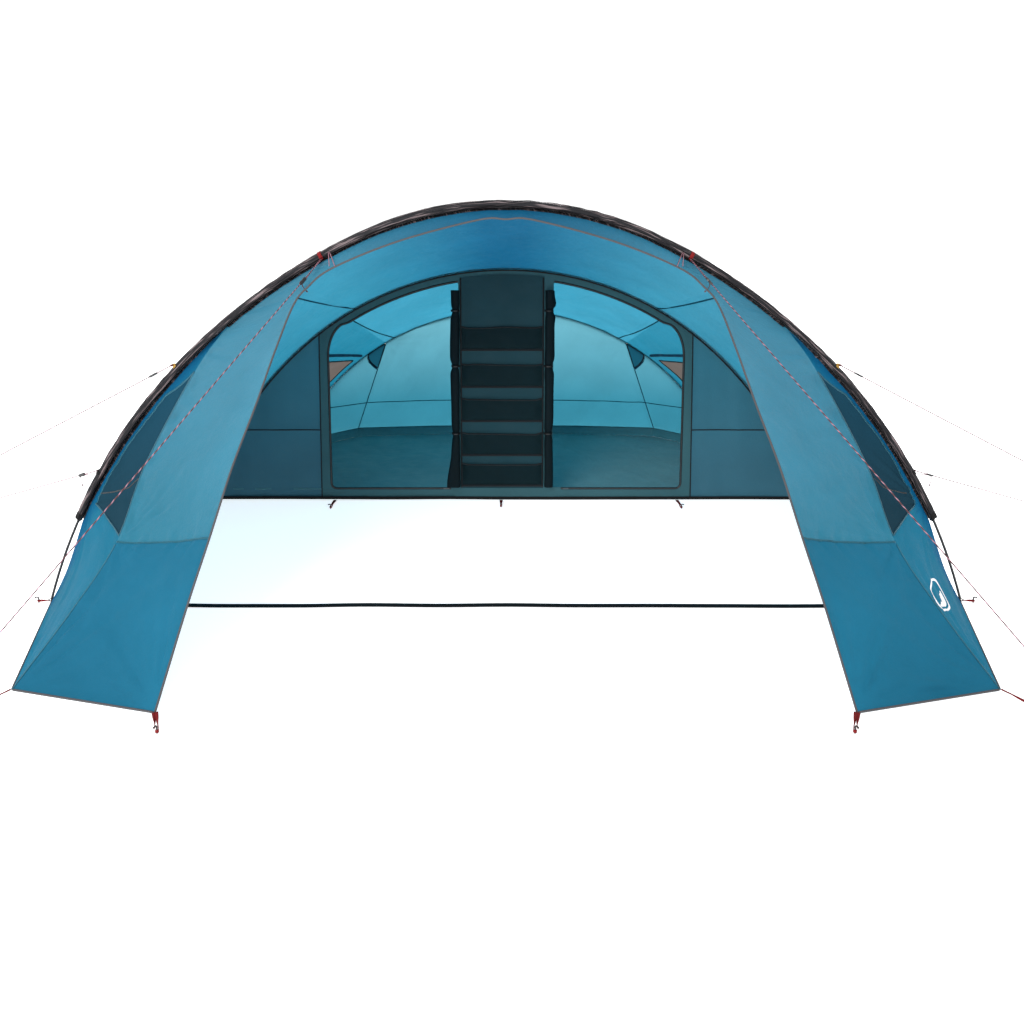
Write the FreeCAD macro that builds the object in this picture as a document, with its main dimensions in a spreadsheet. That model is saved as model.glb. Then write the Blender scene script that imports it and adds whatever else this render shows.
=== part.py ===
"""Tunnel family tent on three bowed poles, with a porch, two pegged front wings and a sleeping area.

Millimetres. +X is to the right as seen from the porch, -Y is the open front and +Z is up.
The origin is on the ground under the middle of the groundsheet, and pegs reach below z = 0.
"""
import FreeCAD
import Part
import math
import os

V = FreeCAD.Vector
doc = FreeCAD.newDocument("tunnel_tent")

DIMENSIONS = {
    # three arches: place, height of the pole's centre line, and the radii and split of its arcs
    "front_place": -2785, "front_apex": 1985, "front_crown": 1661, "front_split": 24, "front_flank": 2961,
    "middle_place": -1050, "middle_apex": 1640, "middle_crown": 2124, "middle_split": 38,
    "middle_flank": 2468,
    "rear_place": 450, "rear_apex": 1232, "rear_crown": 2073, "rear_split": 46, "rear_flank": 1650,
    "foot_height": 20,
    # poles and sleeves
    "pole_radius": 6.35, "pole_bore": 3.5, "ferrule_radius": 7.6, "ferrule_length": 70, "elastic_radius": 1.5,
    "sleeve_radius": 19, "sleeve_bore": 15, "sleeve_bottom": 440,
    # cloth
    "cloth_inset": 21, "cloth_thickness": 2, "seam_gap": 2.5, "hem_height": 3,
    # inner wall, doors and floor
    "wall_gap": 12, "wall_thickness": 2, "door_inner": 325, "door_outer": 1215, "door_sill": 93,
    "door_drop": 56, "door_corner": 150, "tub_height": 80, "tub_thickness": 3, "tub_half_width": 2055,
    "tub_rear_half": 1360, "tub_rear": 1040,
    # organiser
    "organiser_left": -315, "organiser_width": 575, "organiser_height": 1500, "pocket_depth": 28,
    "pocket_height": 165, "pocket_wall": 2,
    # door rolls and zips
    "roll_radius": 28, "roll_length": 1370, "zip_width": 10, "zip_thickness": 1.2,
    "slider_length": 14, "slider_width": 10, "slider_thickness": 3, "lug_height": 3,
    "barrel_radius": 1.1, "pull_length": 34, "pull_width": 7,
    # guy lines and pegs
    "guy_radius": 2.5, "runner_length": 42, "runner_width": 16, "runner_thickness": 9, "runner_bore": 3,
    "peg_radius": 3.5, "peg_depth": 200, "peg_top": 22, "hook_radius": 9,
    "strap_width": 44, "strap_thickness": 2, "strap_half": 2235, "piping_radius": 3.5,
}

sheet = doc.addObject("Spreadsheet::Sheet", "Dims")
for row, (alias, value) in enumerate(DIMENSIONS.items(), start=1):
    sheet.set("A%d" % row, alias)
    sheet.set("B%d" % row, str(value))
    sheet.setAlias("B%d" % row, alias)
doc.recompute()


def dim(alias):
    return float(sheet.get(alias))


parts = []


def keep(obj, label):
    """Names a sub-part; the label is its file's name."""
    obj.Label = label
    parts.append(obj)
    return obj


def feature(label, shape):
    """A sub-part whose shape no standard feature makes."""
    obj = doc.addObject("Part::Feature", label)
    obj.Shape = shape
    return keep(obj, label)


def bind(obj, **sizes):
    """Binds an object's sizes to spreadsheet expressions."""
    for name, expression in sizes.items():
        obj.setExpression(name.replace("__", "."), expression)
    return obj


# ---- arches -------------------------------------------------------------------------------------
class Arch:
    """A bowed pole in a plane of constant Y: a crown arc and two flank arcs, tangent to each other."""

    def __init__(self, name):
        self.y = dim(name + "_place")
        self.crown, self.flank = dim(name + "_crown"), dim(name + "_flank")
        self.split = dim(name + "_split")
        self.centre = dim(name + "_apex") - self.crown
        lever = self.crown - self.flank
        self.side_x = lever * math.sin(math.radians(self.split))
        self.side_z = self.centre + lever * math.cos(math.radians(self.split))
        self.foot = self.angle_at(dim("foot_height"))

    def arc(self, angle):
        """Centre and radius of the arc that holds an angle, measured from straight up."""
        if abs(angle) <= self.split:
            return V(0, self.y, self.centre), self.crown
        return V(math.copysign(1, angle) * self.side_x, self.y, self.side_z), self.flank

    def point(self, angle, inset=0.0, forward=0.0):
        """Point at an angle, moved inward from the pole's centre line and along +Y."""
        centre, radius = self.arc(angle)
        turn = math.radians(angle)
        reach = radius - inset
        return centre + V(reach * math.sin(turn), forward, reach * math.cos(turn))

    def angle_at(self, height, inset=0.0):
        """Flank angle at which the line has a given height."""
        return math.degrees(math.acos((height - self.side_z) / (self.flank - inset)))

    def pieces(self, start, end):
        """The stretch between two angles, cut where the radius changes."""
        marks = [start] + [a for a in (-self.split, self.split) if start < a < end] + [end]
        return list(zip(marks, marks[1:]))


front, middle, rear = (Arch(name) for name in ("front", "middle", "rear"))
ARCHES = {"front": front, "middle": middle, "rear": rear}


def bent_rod(arch, start, end, radius, bore=0.0):
    """Round rod or tube that follows the arch between two angles."""
    solids = []
    for low, high in arch.pieces(start, end):
        centre, _ = arch.arc((low + high) / 2)
        turn = math.radians(low)
        spot = arch.point(low)
        tangent = V(math.cos(turn), 0, -math.sin(turn))
        rings = [Part.Wire(Part.makeCircle(r, spot, tangent)) for r in (radius, bore) if r > 0]
        face = Part.makeFace(rings, "Part::FaceMakerBullseye")
        solids.append(face.revolve(centre, V(0, 1, 0), high - low))
    return solids[0].multiFuse(solids[1:]).removeSplitter() if len(solids) > 1 else solids[0]


def section_marks(arch):
    """Angles of the joints between pole sections, about 650 mm apart in every arc."""
    marks = [-arch.foot]
    for low, high in arch.pieces(-arch.foot, arch.foot):
        _, radius = arch.arc((low + high) / 2)
        count = max(1, round(math.radians(high - low) * radius / 650))
        marks += [low + (high - low) * (i + 1) / count for i in range(count)]
    return marks


def arc_angle(arch, at, length):
    """Angle that a length spans on the arch near an angle."""
    return math.degrees(length / arch.arc(at)[1])


def make_poles():
    ferrules, elastics, pins = [], [], []
    for name, arch in ARCHES.items():
        marks = section_marks(arch)
        sections = []
        for low, high in zip(marks, marks[1:]):
            gap = arc_angle(arch, low, 0.5)
            sections.append(bent_rod(arch, low + gap, high - gap, dim("pole_radius"), dim("pole_bore")))
        feature(name + "_pole", Part.makeCompound(sections))
        for at in marks[1:-1]:
            half = arc_angle(arch, at, dim("ferrule_length") / 2)
            ferrules.append(bent_rod(arch, at - half, at + half, dim("ferrule_radius"),
                                     dim("pole_radius") + 0.1))
        slack = arc_angle(arch, arch.foot, 60)
        elastics.append(bent_rod(arch, -arch.foot + slack, arch.foot - slack, dim("elastic_radius")))
        for side in (-1, 1):
            turn = math.radians(side * arch.foot)
            along = V(math.cos(turn), 0, -math.sin(turn)) * side
            end = arch.point(side * arch.foot)
            pins.append(Part.makeCylinder(dim("pole_bore") - 0.2, 43, end - along * 30, along))
            pins.append(Part.makeTorus(13, 2, end + along * 9, along))
    feature("pole_ferrules", Part.makeCompound(ferrules))
    feature("pole_shock_cords", Part.makeCompound(elastics))
    feature("foot_pins_and_rings", Part.makeCompound(pins))


def make_sleeves():
    for name, arch in ARCHES.items():
        end = arch.angle_at(dim("sleeve_bottom"))
        feature(name + "_sleeve", bent_rod(arch, -end, end, dim("sleeve_radius"), dim("sleeve_bore")))


# ---- cloth --------------------------------------------------------------------------------------
INSIDE = V(0, -1200, 500)


def blend(a, b, share):
    return a + (b - a) * share


def trimmed(rows, margin):
    """Pulls a grid's four edges in, so that neighbouring cloths stay apart."""
    def pull(line):
        first = line[0] + (line[1] - line[0]).normalize() * margin
        last = line[-1] + (line[-2] - line[-1]).normalize() * margin
        return [first] + line[1:-1] + [last]
    rows = [pull(list(line)) for line in rows]
    columns = [pull(list(line)) for line in zip(*rows)]
    return [list(line) for line in zip(*columns)]


def inward_normals(rows):
    last_i, last_j = len(rows) - 1, len(rows[0]) - 1
    normals = []
    for i, line in enumerate(rows):
        normals.append([])
        for j, spot in enumerate(line):
            down = rows[min(i + 1, last_i)][j] - rows[max(i - 1, 0)][j]
            across = line[min(j + 1, last_j)] - line[max(j - 1, 0)]
            normal = down.cross(across).normalize()
            normals[-1].append(normal if normal.dot(INSIDE - spot) > 0 else normal * -1)
    return normals


def shift_grid(rows, inward):
    normals = inward_normals(rows)
    return [[p + n * inward for p, n in zip(line, many)] for line, many in zip(rows, normals)]


def closed_solid(faces_points):
    """Solid bounded by triangles given as point triples."""
    faces = [Part.Face(Part.makePolygon([a, b, c, a])) for a, b, c in faces_points]
    solid = Part.Solid(Part.Shell(faces))
    return solid if solid.Volume > 0 else solid.reversed()


def between_grids(one, two):
    """Closed solid between two grids of the same size."""
    triangles = []

    def quad(a, b, c, d):
        triangles.extend([(a, b, c), (a, c, d)])

    rows, columns = len(one), len(one[0])
    for i in range(rows - 1):
        for j in range(columns - 1):
            quad(one[i][j], one[i][j + 1], one[i + 1][j + 1], one[i + 1][j])
            quad(two[i][j], two[i + 1][j], two[i + 1][j + 1], two[i][j + 1])
    rim = [(0, j) for j in range(columns)] + [(i, columns - 1) for i in range(1, rows)]
    rim += [(rows - 1, j) for j in range(columns - 2, -1, -1)] + [(i, 0) for i in range(rows - 2, 0, -1)]
    for (i, j), (k, m) in zip(rim, rim[1:] + rim[:1]):
        quad(one[k][m], one[i][j], two[i][j], two[k][m])
    return closed_solid(triangles)


def cloth(rows, outward=0.0, margin=None):
    """Thin cloth whose outer face is the grid, moved outward where it lies on another cloth."""
    rows = trimmed(rows, dim("seam_gap") if margin is None else margin)
    outer = shift_grid(rows, -outward) if outward else rows
    return between_grids(outer, shift_grid(rows, dim("cloth_thickness") - outward))


def spread(low, high, count):
    return [low + (high - low) * i / count for i in range(count + 1)]


LEG_HOLLOW = 14


def leg_hollow(arch, angle):
    """The front cloth is cut straighter than the pole's legs, which leaves a gap beside each leg."""
    start = arch.angle_at(dim("sleeve_bottom"))
    if arch is not front or abs(angle) < start:
        return 0.0
    share = (abs(angle) - start) / (arch.angle_at(dim("hem_height")) - start)
    return LEG_HOLLOW * math.sin(math.pi * min(share, 1.0))


def skin(arch, angle, forward=0.0):
    return arch.point(angle, dim("cloth_inset") + leg_hollow(arch, angle), forward)


SEAM = {"front": 34.0, "middle": 31.7, "rear": 30.2}


def seam(arch):
    return next(SEAM[name] for name, other in ARCHES.items() if other is arch)


def ground_angle(arch):
    return arch.angle_at(dim("hem_height"), dim("cloth_inset"))


def bay_point(back, ahead, u, v, side):
    """Point on a bay between two arches: u runs rearward and v from the seam down to the hem."""
    a = skin(ahead, side * (seam(ahead) + (ground_angle(ahead) - seam(ahead)) * v))
    b = skin(back, side * (seam(back) + (ground_angle(back) - seam(back)) * v))
    return blend(a, b, u)


def make_bays():
    for name, ahead, back in (("porch", front, middle), ("bedroom", middle, rear)):
        across = spread(-1, 1, 12)
        roof = [[blend(skin(ahead, seam(ahead) * a), skin(back, seam(back) * a), u) for a in across]
                for u in spread(0, 1, 2)]
        feature(name + "_roof", cloth(roof))
        for side, word in ((-1, "left"), (1, "right")):
            wall = [[bay_point(back, ahead, u, v, side) for v in spread(0, 1, 8)]
                    for u in spread(0, 1, 2)]
            feature("%s_side_%s" % (name, word), cloth(wall))


# ground line of the rear wall's right half, as X and Y, and how far the wall stands off the rear arch
REAR_LINE = [(0, 1105), (700, 1085), (1400, 985)]
REAR_STAND_OFF = 6


def make_rear_wall():
    hem = dim("hem_height")
    vents = []
    across = [-1, -0.75, -0.5, -0.25, 0, 0.25, 0.5, 0.75, 1]

    def ground(a):
        reach = abs(a) * REAR_LINE[-1][0]
        low, high = (REAR_LINE[0], REAR_LINE[1]) if reach <= REAR_LINE[1][0] else (REAR_LINE[1], REAR_LINE[2])
        share = (reach - low[0]) / (high[0] - low[0])
        return V(math.copysign(reach, a), low[1] + (high[1] - low[1]) * share, hem)

    top = [skin(rear, seam(rear) * a, REAR_STAND_OFF) for a in across]
    centre = [[blend(t, ground(a), u) for t, a in zip(top, across)] for u in spread(0, 1, 2)]
    feature("rear_wall_centre", cloth(centre))
    for side, word in ((-1, "left"), (1, "right")):
        edge = [skin(rear, side * angle, REAR_STAND_OFF)
                for angle in spread(seam(rear), ground_angle(rear), 6)]
        inner = [blend(edge[0], ground(side), v) for v in spread(0, 1, 6)]
        grid = [[blend(i, e, u) for i, e in zip(inner, edge)] for u in (0, 0.5, 1)]
        # the panel closes to a short edge at the top corner of the centre panel
        grid[0][0], grid[2][0] = blend(grid[0][1], edge[0], 0.9), blend(edge[1], edge[0], 0.9)
        grid[1][0] = blend(grid[0][0], grid[2][0], 0.5)
        feature("rear_wall_" + word, cloth(grid))
        vent = [[grid[0][0], grid[2][0]], [grid[0][2], grid[2][1]]]
        vents.append(cloth(vent, outward=4, margin=14))
    feature("corner_vents", Part.makeCompound(vents))


# ---- front edge, brow and wings -------------------------------------------------------------------
# Right half of the porch opening, from the crown down to the peg: the grey edge cord follows it.
OPENING = [V(0, -2862, 1912), V(128, -2864, 1909), V(500, -2880, 1811), V(810, -2900, 1686),
           V(925, -2930, 1595), V(982, -2970, 1515), V(1042, -3090, 1317), V(1100, -3212, 1100),
           V(1174, -3350, 850), V(1232, -3500, 590), V(1290, -3637, 345), V(1359, -3832, 6)]
# Fold between a wing's side and its front face, from the outer peg up to the arch.
FOLD = [V(2010, -3659, 6), V(1862, -3440, 240), V(1735, -3250, 483), V(1688, -3010, 770),
        V(1492, -2858, 1188)]


# the front cloths start this far in front of the arch's plane, and piping stops short of each corner
CUT_BACK = 4
CORNER_GAP = 9


def mirror(point, side):
    return V(point.x * side, point.y, point.z)


def window_top(share):
    """Top edge of a side window, as a share of the side's drop: it stays level as the roof comes down."""
    return 0.345 - 0.163 * share


def make_brow_and_wings():
    def opening(index, side):
        return mirror(OPENING[index], side)

    # brow over the crown of the opening, down to the guy lines' bridles
    angles = [0, 4.5, 17.5, 27.5]
    stations = [(-a, i, -1) for i, a in reversed(list(enumerate(angles)))] + \
               [(a, i, 1) for i, a in list(enumerate(angles))[1:]]
    top = [skin(front, angle, -CUT_BACK) for angle, _, _ in stations]
    edge = [opening(i, side) for _, i, side in stations]
    feature("canopy_brow", cloth([top, edge], margin=5))
    for side, word in ((-1, "left"), (1, "right")):
        fold = [mirror(p, side) for p in FOLD]
        # front face: outer boundary (fold, then arch) against the opening's edge, from the hem up
        outer = fold + [skin(front, side * a, -CUT_BACK) for a in (40.0, 34.5, 30.0, 28.0)]
        inner = [opening(i, side) for i in (11, 10, 9, 8, 7, 6, 5, 4, 3)]
        face = [[blend(o, i, u) for u in (0, 0.5, 1)] for o, i in zip(outer, inner)]
        feature("wing_front_" + word, cloth(face, margin=5))
        # side: from the arch's leg to the fold
        heights = [dim("hem_height"), 240, 483, 770, 1188]
        leg = [skin(front, side * front.angle_at(z, dim("cloth_inset")), -CUT_BACK) for z in heights]
        leg.append(skin(front, side * 41.6, -CUT_BACK))
        closing = fold + [skin(front, side * 40.1, -3 * CUT_BACK)]
        flank = [[blend(a, b, u) for u in (0, 0.5, 1)] for a, b in zip(leg, closing)]
        feature("wing_side_" + word, cloth(flank, margin=5))
        window = [[blend(a, b, u) for u in (0.1, 0.5, 0.92)] for a, b in zip(leg[2:5], fold[2:])]
        feature("wing_window_" + word, cloth(window, outward=7, margin=14))
    for side, word in ((-1, "left"), (1, "right")):
        pane = [[bay_point(rear, middle, u, v, side) for v in spread(window_top(u), WINDOW_FOOT, 2)]
                for u in WINDOW_SPAN]
        feature("side_window_" + word, cloth(pane, outward=-6))
        above = [[bay_point(rear, middle, u, window_top(u) - rise, side) for rise in (0.055, 0.03)]
                 for u in WINDOW_SPAN]
        line = [row[0] for row in shift_grid(above, CURTAIN_INSET)]
        feature("rolled_curtain_" + word, round_line(line, CURTAIN_RADIUS))


# side windows: shares of the bay's depth, and the curtain rolled up inside above each
WINDOW_SPAN = (0.15, 0.5, 0.86)
WINDOW_FOOT = 0.62
CURTAIN_INSET = 20
CURTAIN_RADIUS = 13


def round_line(points, radius, sides=8):
    """Thin faceted tube along a line of points, closed at both ends."""
    rings = []
    for i, spot in enumerate(points):
        before, after = points[max(i - 1, 0)], points[min(i + 1, len(points) - 1)]
        along = (after - before).normalize()
        across = along.cross(V(0, 0, 1) if abs(along.z) < 0.9 else V(0, 1, 0)).normalize()
        up = across.cross(along)
        rings.append([spot + (across * math.cos(2 * math.pi * k / sides)
                              + up * math.sin(2 * math.pi * k / sides)) * radius for k in range(sides)])
    triangles = []
    for ring, following in zip(rings, rings[1:]):
        for k in range(sides):
            n = (k + 1) % sides
            triangles += [(ring[k], ring[n], following[n]), (ring[k], following[n], following[k])]
    for ring, spot in ((rings[0], points[0]), (rings[-1], points[-1])):
        triangles += [(spot, ring[k], ring[(k + 1) % sides]) for k in range(sides)]
    return closed_solid(triangles)


def make_piping():
    line = [mirror(p, -1) for p in reversed(OPENING[1:])] + [V(p) for p in OPENING]
    lines = [round_line(line, dim("piping_radius"))]
    level = dim("hem_height") + 1
    for side in (-1, 1):
        outer, inner = mirror(FOLD[0], side), mirror(OPENING[-1], side)
        leg = skin(front, side * ground_angle(front), -CUT_BACK)
        for a, b in ((leg, outer), (outer, inner)):
            step = (b - a).normalize() * CORNER_GAP
            ends = [a + step, b - step]
            lines.append(round_line([V(p.x, p.y, level) for p in ends], dim("piping_radius")))
    feature("edge_piping", Part.makeCompound(lines))


def make_ground_strap():
    strap = keep(doc.addObject("Part::Box", "ground_strap"), "ground_strap")
    bind(strap, Length="2 * Dims.strap_half", Width="Dims.strap_width", Height="Dims.strap_thickness",
         Placement__Base__x="-Dims.strap_half", Placement__Base__y="Dims.front_place - 75",
         Placement__Base__z="1")


# ---- inner wall, groundsheet and what hangs on the wall ----------------------------------------------
def body_plane(body, role):
    return next(f for f in body.Origin.OriginFeatures if f.Role == role)


def sketch_on(body, role, name, offset=0.0):
    sketch = body.newObject("Sketcher::SketchObject", name)
    sketch.AttachmentSupport = [(body_plane(body, role), "")]
    sketch.MapMode = "FlatFace"
    sketch.AttachmentOffset = FreeCAD.Placement(V(0, 0, offset), FreeCAD.Rotation())
    return sketch


def add_loop(sketch, points):
    """Closed outline of straight lines."""
    for a, b in zip(points, points[1:] + points[:1]):
        sketch.addGeometry(Part.LineSegment(a, b), False)


def pad(body, sketch, length, reverse=False):
    feature_pad = body.newObject("PartDesign::Pad", body.Name + "_pad")
    feature_pad.Profile = sketch
    feature_pad.setExpression("Length", length)
    feature_pad.Reversed = reverse
    sketch.Visibility = False
    return feature_pad


def wall_circle(drop):
    """Centre height and radius of the middle arch's crown, moved inward."""
    return middle.centre, middle.crown - drop


# how much taller than wide the curve at a doorway's shoulder is
SHOULDER_STRETCH = 1.6


def door_outline(side):
    """D-shaped doorway: straight sill and outer edge, and a top that follows the arch."""
    centre, radius = wall_circle(dim("cloth_inset") + dim("wall_gap") + dim("door_drop"))
    inner, outer, sill = dim("door_inner"), dim("door_outer"), dim("door_sill")
    corner = dim("door_corner")
    turn_end = math.asin((outer - corner) / radius)
    turns = spread(math.asin(inner / radius), turn_end, 7)
    top = [V(radius * math.sin(a), centre + radius * math.cos(a), 0) for a in turns]
    shoulder = top[-1].y
    drop = corner * SHOULDER_STRETCH
    bend = [V(outer - corner * (1 - math.sin(a)), shoulder - drop * (1 - math.cos(a)), 0)
            for a in spread(math.radians(22), math.radians(90), 4)]
    points = [V(inner, sill, 0), V(outer, sill, 0)] + bend[::-1] + top[::-1]
    return [V(p.x * side, p.y, 0) for p in points]


def make_inner_wall():
    body = doc.addObject("PartDesign::Body", "inner_wall")
    sketch = sketch_on(body, "XZ_Plane", "wall_outline", -dim("middle_place"))
    limit = middle.angle_at(dim("hem_height"), dim("cloth_inset") + dim("wall_gap"))
    inset = dim("cloth_inset") + dim("wall_gap")
    outline = [middle.point(a, inset) for a in spread(-limit, limit, 28)]
    add_loop(sketch, [V(p.x, p.z, 0) for p in outline])
    for side in (-1, 1):
        add_loop(sketch, door_outline(side))
    pad(body, sketch, "Dims.wall_thickness")
    keep(body, "inner_wall")


def tub_outline(inset):
    half, rear_half = dim("tub_half_width") - inset, dim("tub_rear_half") - inset
    near, far = dim("middle_place") + 8 + inset, dim("tub_rear") - inset
    shoulder = half - 272
    right = [V(half, near, 0), V(shoulder, dim("rear_place") - 20, 0), V(rear_half, far - 105, 0),
             V(680, far - 18, 0)]
    return right + [V(0, far, 0)] + [V(-p.x, p.y, 0) for p in reversed(right)]


def make_groundsheet():
    body = doc.addObject("PartDesign::Body", "groundsheet")
    sketch = sketch_on(body, "XY_Plane", "tub_outline")
    add_loop(sketch, tub_outline(0))
    pad(body, sketch, "Dims.tub_height")
    doc.recompute()
    hollow = sketch_on(body, "XY_Plane", "tub_hollow", dim("tub_height"))
    add_loop(hollow, tub_outline(dim("tub_thickness")))
    pocket = body.newObject("PartDesign::Pocket", "tub_pocket")
    pocket.Profile = hollow
    pocket.setExpression("Length", "Dims.tub_height - Dims.tub_thickness")
    keep(body, "groundsheet")


POCKETS = [1064, 806, 566, 324, 105]


def make_organiser():
    pockets = []
    panel = keep(doc.addObject("Part::Box", "organiser_panel"), "organiser_panel")
    bind(panel, Length="Dims.organiser_width", Width="2", Height="Dims.organiser_height",
         Placement__Base__x="Dims.organiser_left",
         Placement__Base__y="Dims.middle_place - Dims.wall_thickness - 3",
         Placement__Base__z="Dims.door_sill - 5")
    for number, bottom in enumerate(POCKETS, start=1):
        outer = doc.addObject("Part::Box", "pocket_block_%d" % number)
        bind(outer, Length="Dims.organiser_width - 8", Width="Dims.pocket_depth",
             Height="Dims.pocket_height", Placement__Base__x="Dims.organiser_left + 4",
             Placement__Base__y="Dims.middle_place - Dims.wall_thickness - 3.5 - Dims.pocket_depth",
             Placement__Base__z=str(bottom))
        inner = doc.addObject("Part::Box", "pocket_hollow_%d" % number)
        bind(inner, Length="Dims.organiser_width - 8 - 2 * Dims.pocket_wall",
             Width="Dims.pocket_depth - 2 * Dims.pocket_wall", Height="Dims.pocket_height",
             Placement__Base__x="Dims.organiser_left + 4 + Dims.pocket_wall",
             Placement__Base__y="Dims.middle_place - Dims.wall_thickness - 3.5 - Dims.pocket_depth"
                                " + Dims.pocket_wall",
             Placement__Base__z="%s + Dims.pocket_wall" % bottom)
        cut = doc.addObject("Part::Cut", "pocket_%d" % number)
        cut.Base, cut.Tool = outer, inner
        pockets.append(cut)
    row = keep(doc.addObject("Part::Compound", "organiser_pockets"), "organiser_pockets")
    row.Links = pockets


# ties round the rolled doors, and their toggles
TIE_HEIGHTS = (480, 950, 1330)
TIE_WIDTH = 16
TOGGLE_RADIUS = 4
TOGGLE_LENGTH = 30


def make_door_rolls():
    depth = "Dims.middle_place - Dims.wall_thickness - 1 - Dims.roll_radius"
    for word, place in (("left", "Dims.organiser_left - Dims.roll_radius - 2"),
                        ("right", "Dims.organiser_left + Dims.organiser_width + Dims.roll_radius + 2")):
        roll = keep(doc.addObject("Part::Cylinder", "door_roll_" + word), "door_roll_" + word)
        bind(roll, Radius="Dims.roll_radius", Height="Dims.roll_length", Placement__Base__x=place,
             Placement__Base__y=depth, Placement__Base__z="Dims.door_sill + 12")
    ties = []
    radius = dim("roll_radius")
    y = dim("middle_place") - dim("wall_thickness") - 1 - radius
    left = dim("organiser_left") - radius - 2
    right = dim("organiser_left") + dim("organiser_width") + radius + 2
    for x in (left, right):
        for height in TIE_HEIGHTS:
            band = Part.makeCylinder(radius + 2.2, TIE_WIDTH, V(x, y, height))
            band = band.cut(Part.makeCylinder(radius + 0.4, TIE_WIDTH + 4, V(x, y, height - 2)))
            front_half = Part.makeBox(4 * radius, radius + 6, TIE_WIDTH + 4,
                                      V(x - 2 * radius, y - radius - 6, height - 2))
            ties.append(band.common(front_half))
            ties.append(Part.makeCylinder(TOGGLE_RADIUS, TOGGLE_LENGTH,
                                          V(x - TOGGLE_LENGTH / 2, y - radius - 7, height + TIE_WIDTH / 2),
                                          V(1, 0, 0)))
    feature("door_ties", Part.makeCompound(ties))


def track_edge(side, grow):
    """Doorway outline without its hinge side, moved outward."""
    points = door_outline(side)
    middle_x = side * (dim("door_inner") + dim("door_outer")) / 2
    centre = V(middle_x, 700, 0)
    moved = []
    last = len(points) - 1
    for i in range(len(points)):
        before = points[i] - points[max(i - 1, 0)] if i else points[1] - points[0]
        after = points[min(i + 1, last)] - points[i] if i < last else before
        along = (before.normalize() + after.normalize()).normalize()
        normal = V(along.y, -along.x, 0)
        if normal.dot(points[i] - centre) < 0:
            normal = normal * -1
        bend = max(0.5, before.dot(along))
        moved.append(points[i] + normal * grow / bend)
    return moved


# zip: distance from the doorway's edge, gap to the wall's face, and where the track starts on the sill
ZIP_MARGIN = 3
ZIP_GAP = 0.3
ZIP_START = 60


def make_zips():
    tracks = []
    for side in (-1, 1):
        near, far = track_edge(side, ZIP_MARGIN), track_edge(side, ZIP_MARGIN + dim("zip_width"))
        y = dim("middle_place") - dim("wall_thickness") - ZIP_GAP
        depth = dim("zip_thickness")
        start = V(ZIP_START * side, 0, 0)
        near[0], far[0] = near[0] + start, far[0] + start
        lines = [[V(p.x, y - d, p.y) for p in edge] for d in (0, depth) for edge in (near, far)]
        tracks.append(between_grids([lines[0], lines[1]], [lines[2], lines[3]]))
    feature("zip_tracks", Part.makeCompound(tracks))
    for side, word in ((-1, "left"), (1, "right")):
        slider_body(side, word)
        pull_body(side, word)


def rectangle(x, y, width, height):
    return [V(x, y, 0), V(x + width, y, 0), V(x + width, y + height, 0), V(x, y + height, 0)]


SLIDER_X = 432
SLIDER_GAP = 0.4


def slider_place():
    """Middle of a slider: on the sill's zip, in front of the track."""
    y = dim("middle_place") - dim("wall_thickness") - ZIP_GAP - dim("zip_thickness") - SLIDER_GAP
    return SLIDER_X, y, dim("door_sill") - ZIP_MARGIN - dim("zip_width") / 2


def slider_body(side, word):
    """Slider plate with two lugs that hold the pull's barrel."""
    x, y, z = slider_place()
    body = doc.addObject("PartDesign::Body", "zip_slider_" + word)
    plate = sketch_on(body, "XZ_Plane", "slider_plate_" + word)
    long, wide = dim("slider_length"), dim("slider_width")
    add_loop(plate, [V(-side * long / 2, -wide / 2, 0), V(side * long / 2, -wide * 0.35, 0),
                     V(side * long / 2, wide * 0.35, 0), V(-side * long / 2, wide / 2, 0)])
    pad(body, plate, "Dims.slider_thickness")
    doc.recompute()
    lugs = sketch_on(body, "XZ_Plane", "slider_lugs_" + word, dim("slider_thickness"))
    for low in (-3.4, 2.2):
        add_loop(lugs, rectangle(-2, low, 4, 1.2))
    pad(body, lugs, "Dims.lug_height")
    body.Placement = FreeCAD.Placement(V(side * x, y, z), FreeCAD.Rotation())
    keep(body, "zip_slider_" + word)


def pull_body(side, word):
    """Pull tab on a barrel between the lugs; at rest it points back along the closed teeth."""
    x, y, z = slider_place()
    barrel = doc.addObject("Part::Cylinder", "pull_barrel_" + word)
    bind(barrel, Radius="Dims.barrel_radius", Height="4")
    neck = doc.addObject("Part::Box", "pull_neck_" + word)
    bind(neck, Length="6", Width="1.4", Height="3.6")
    tab = doc.addObject("Part::Box", "pull_tab_" + word)
    bind(tab, Length="Dims.pull_length - 5", Width="1.4", Height="Dims.pull_width")
    pull = doc.addObject("Part::MultiFuse", "zip_pull_" + word)
    pull.Shapes = [barrel, neck, tab]
    front_face = y - dim("slider_thickness") - 1.5
    barrel.Placement.Base = V(side * x, front_face, z - 2)
    neck.Placement.Base = V(side * x - (6 if side > 0 else 0), front_face - 0.7, z - 1.8)
    reach = 5 if side < 0 else -dim("pull_length")
    tab.Placement.Base = V(side * x + reach, front_face - 0.7, z - dim("pull_width") / 2)
    keep(pull, "zip_pull_" + word)


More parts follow.
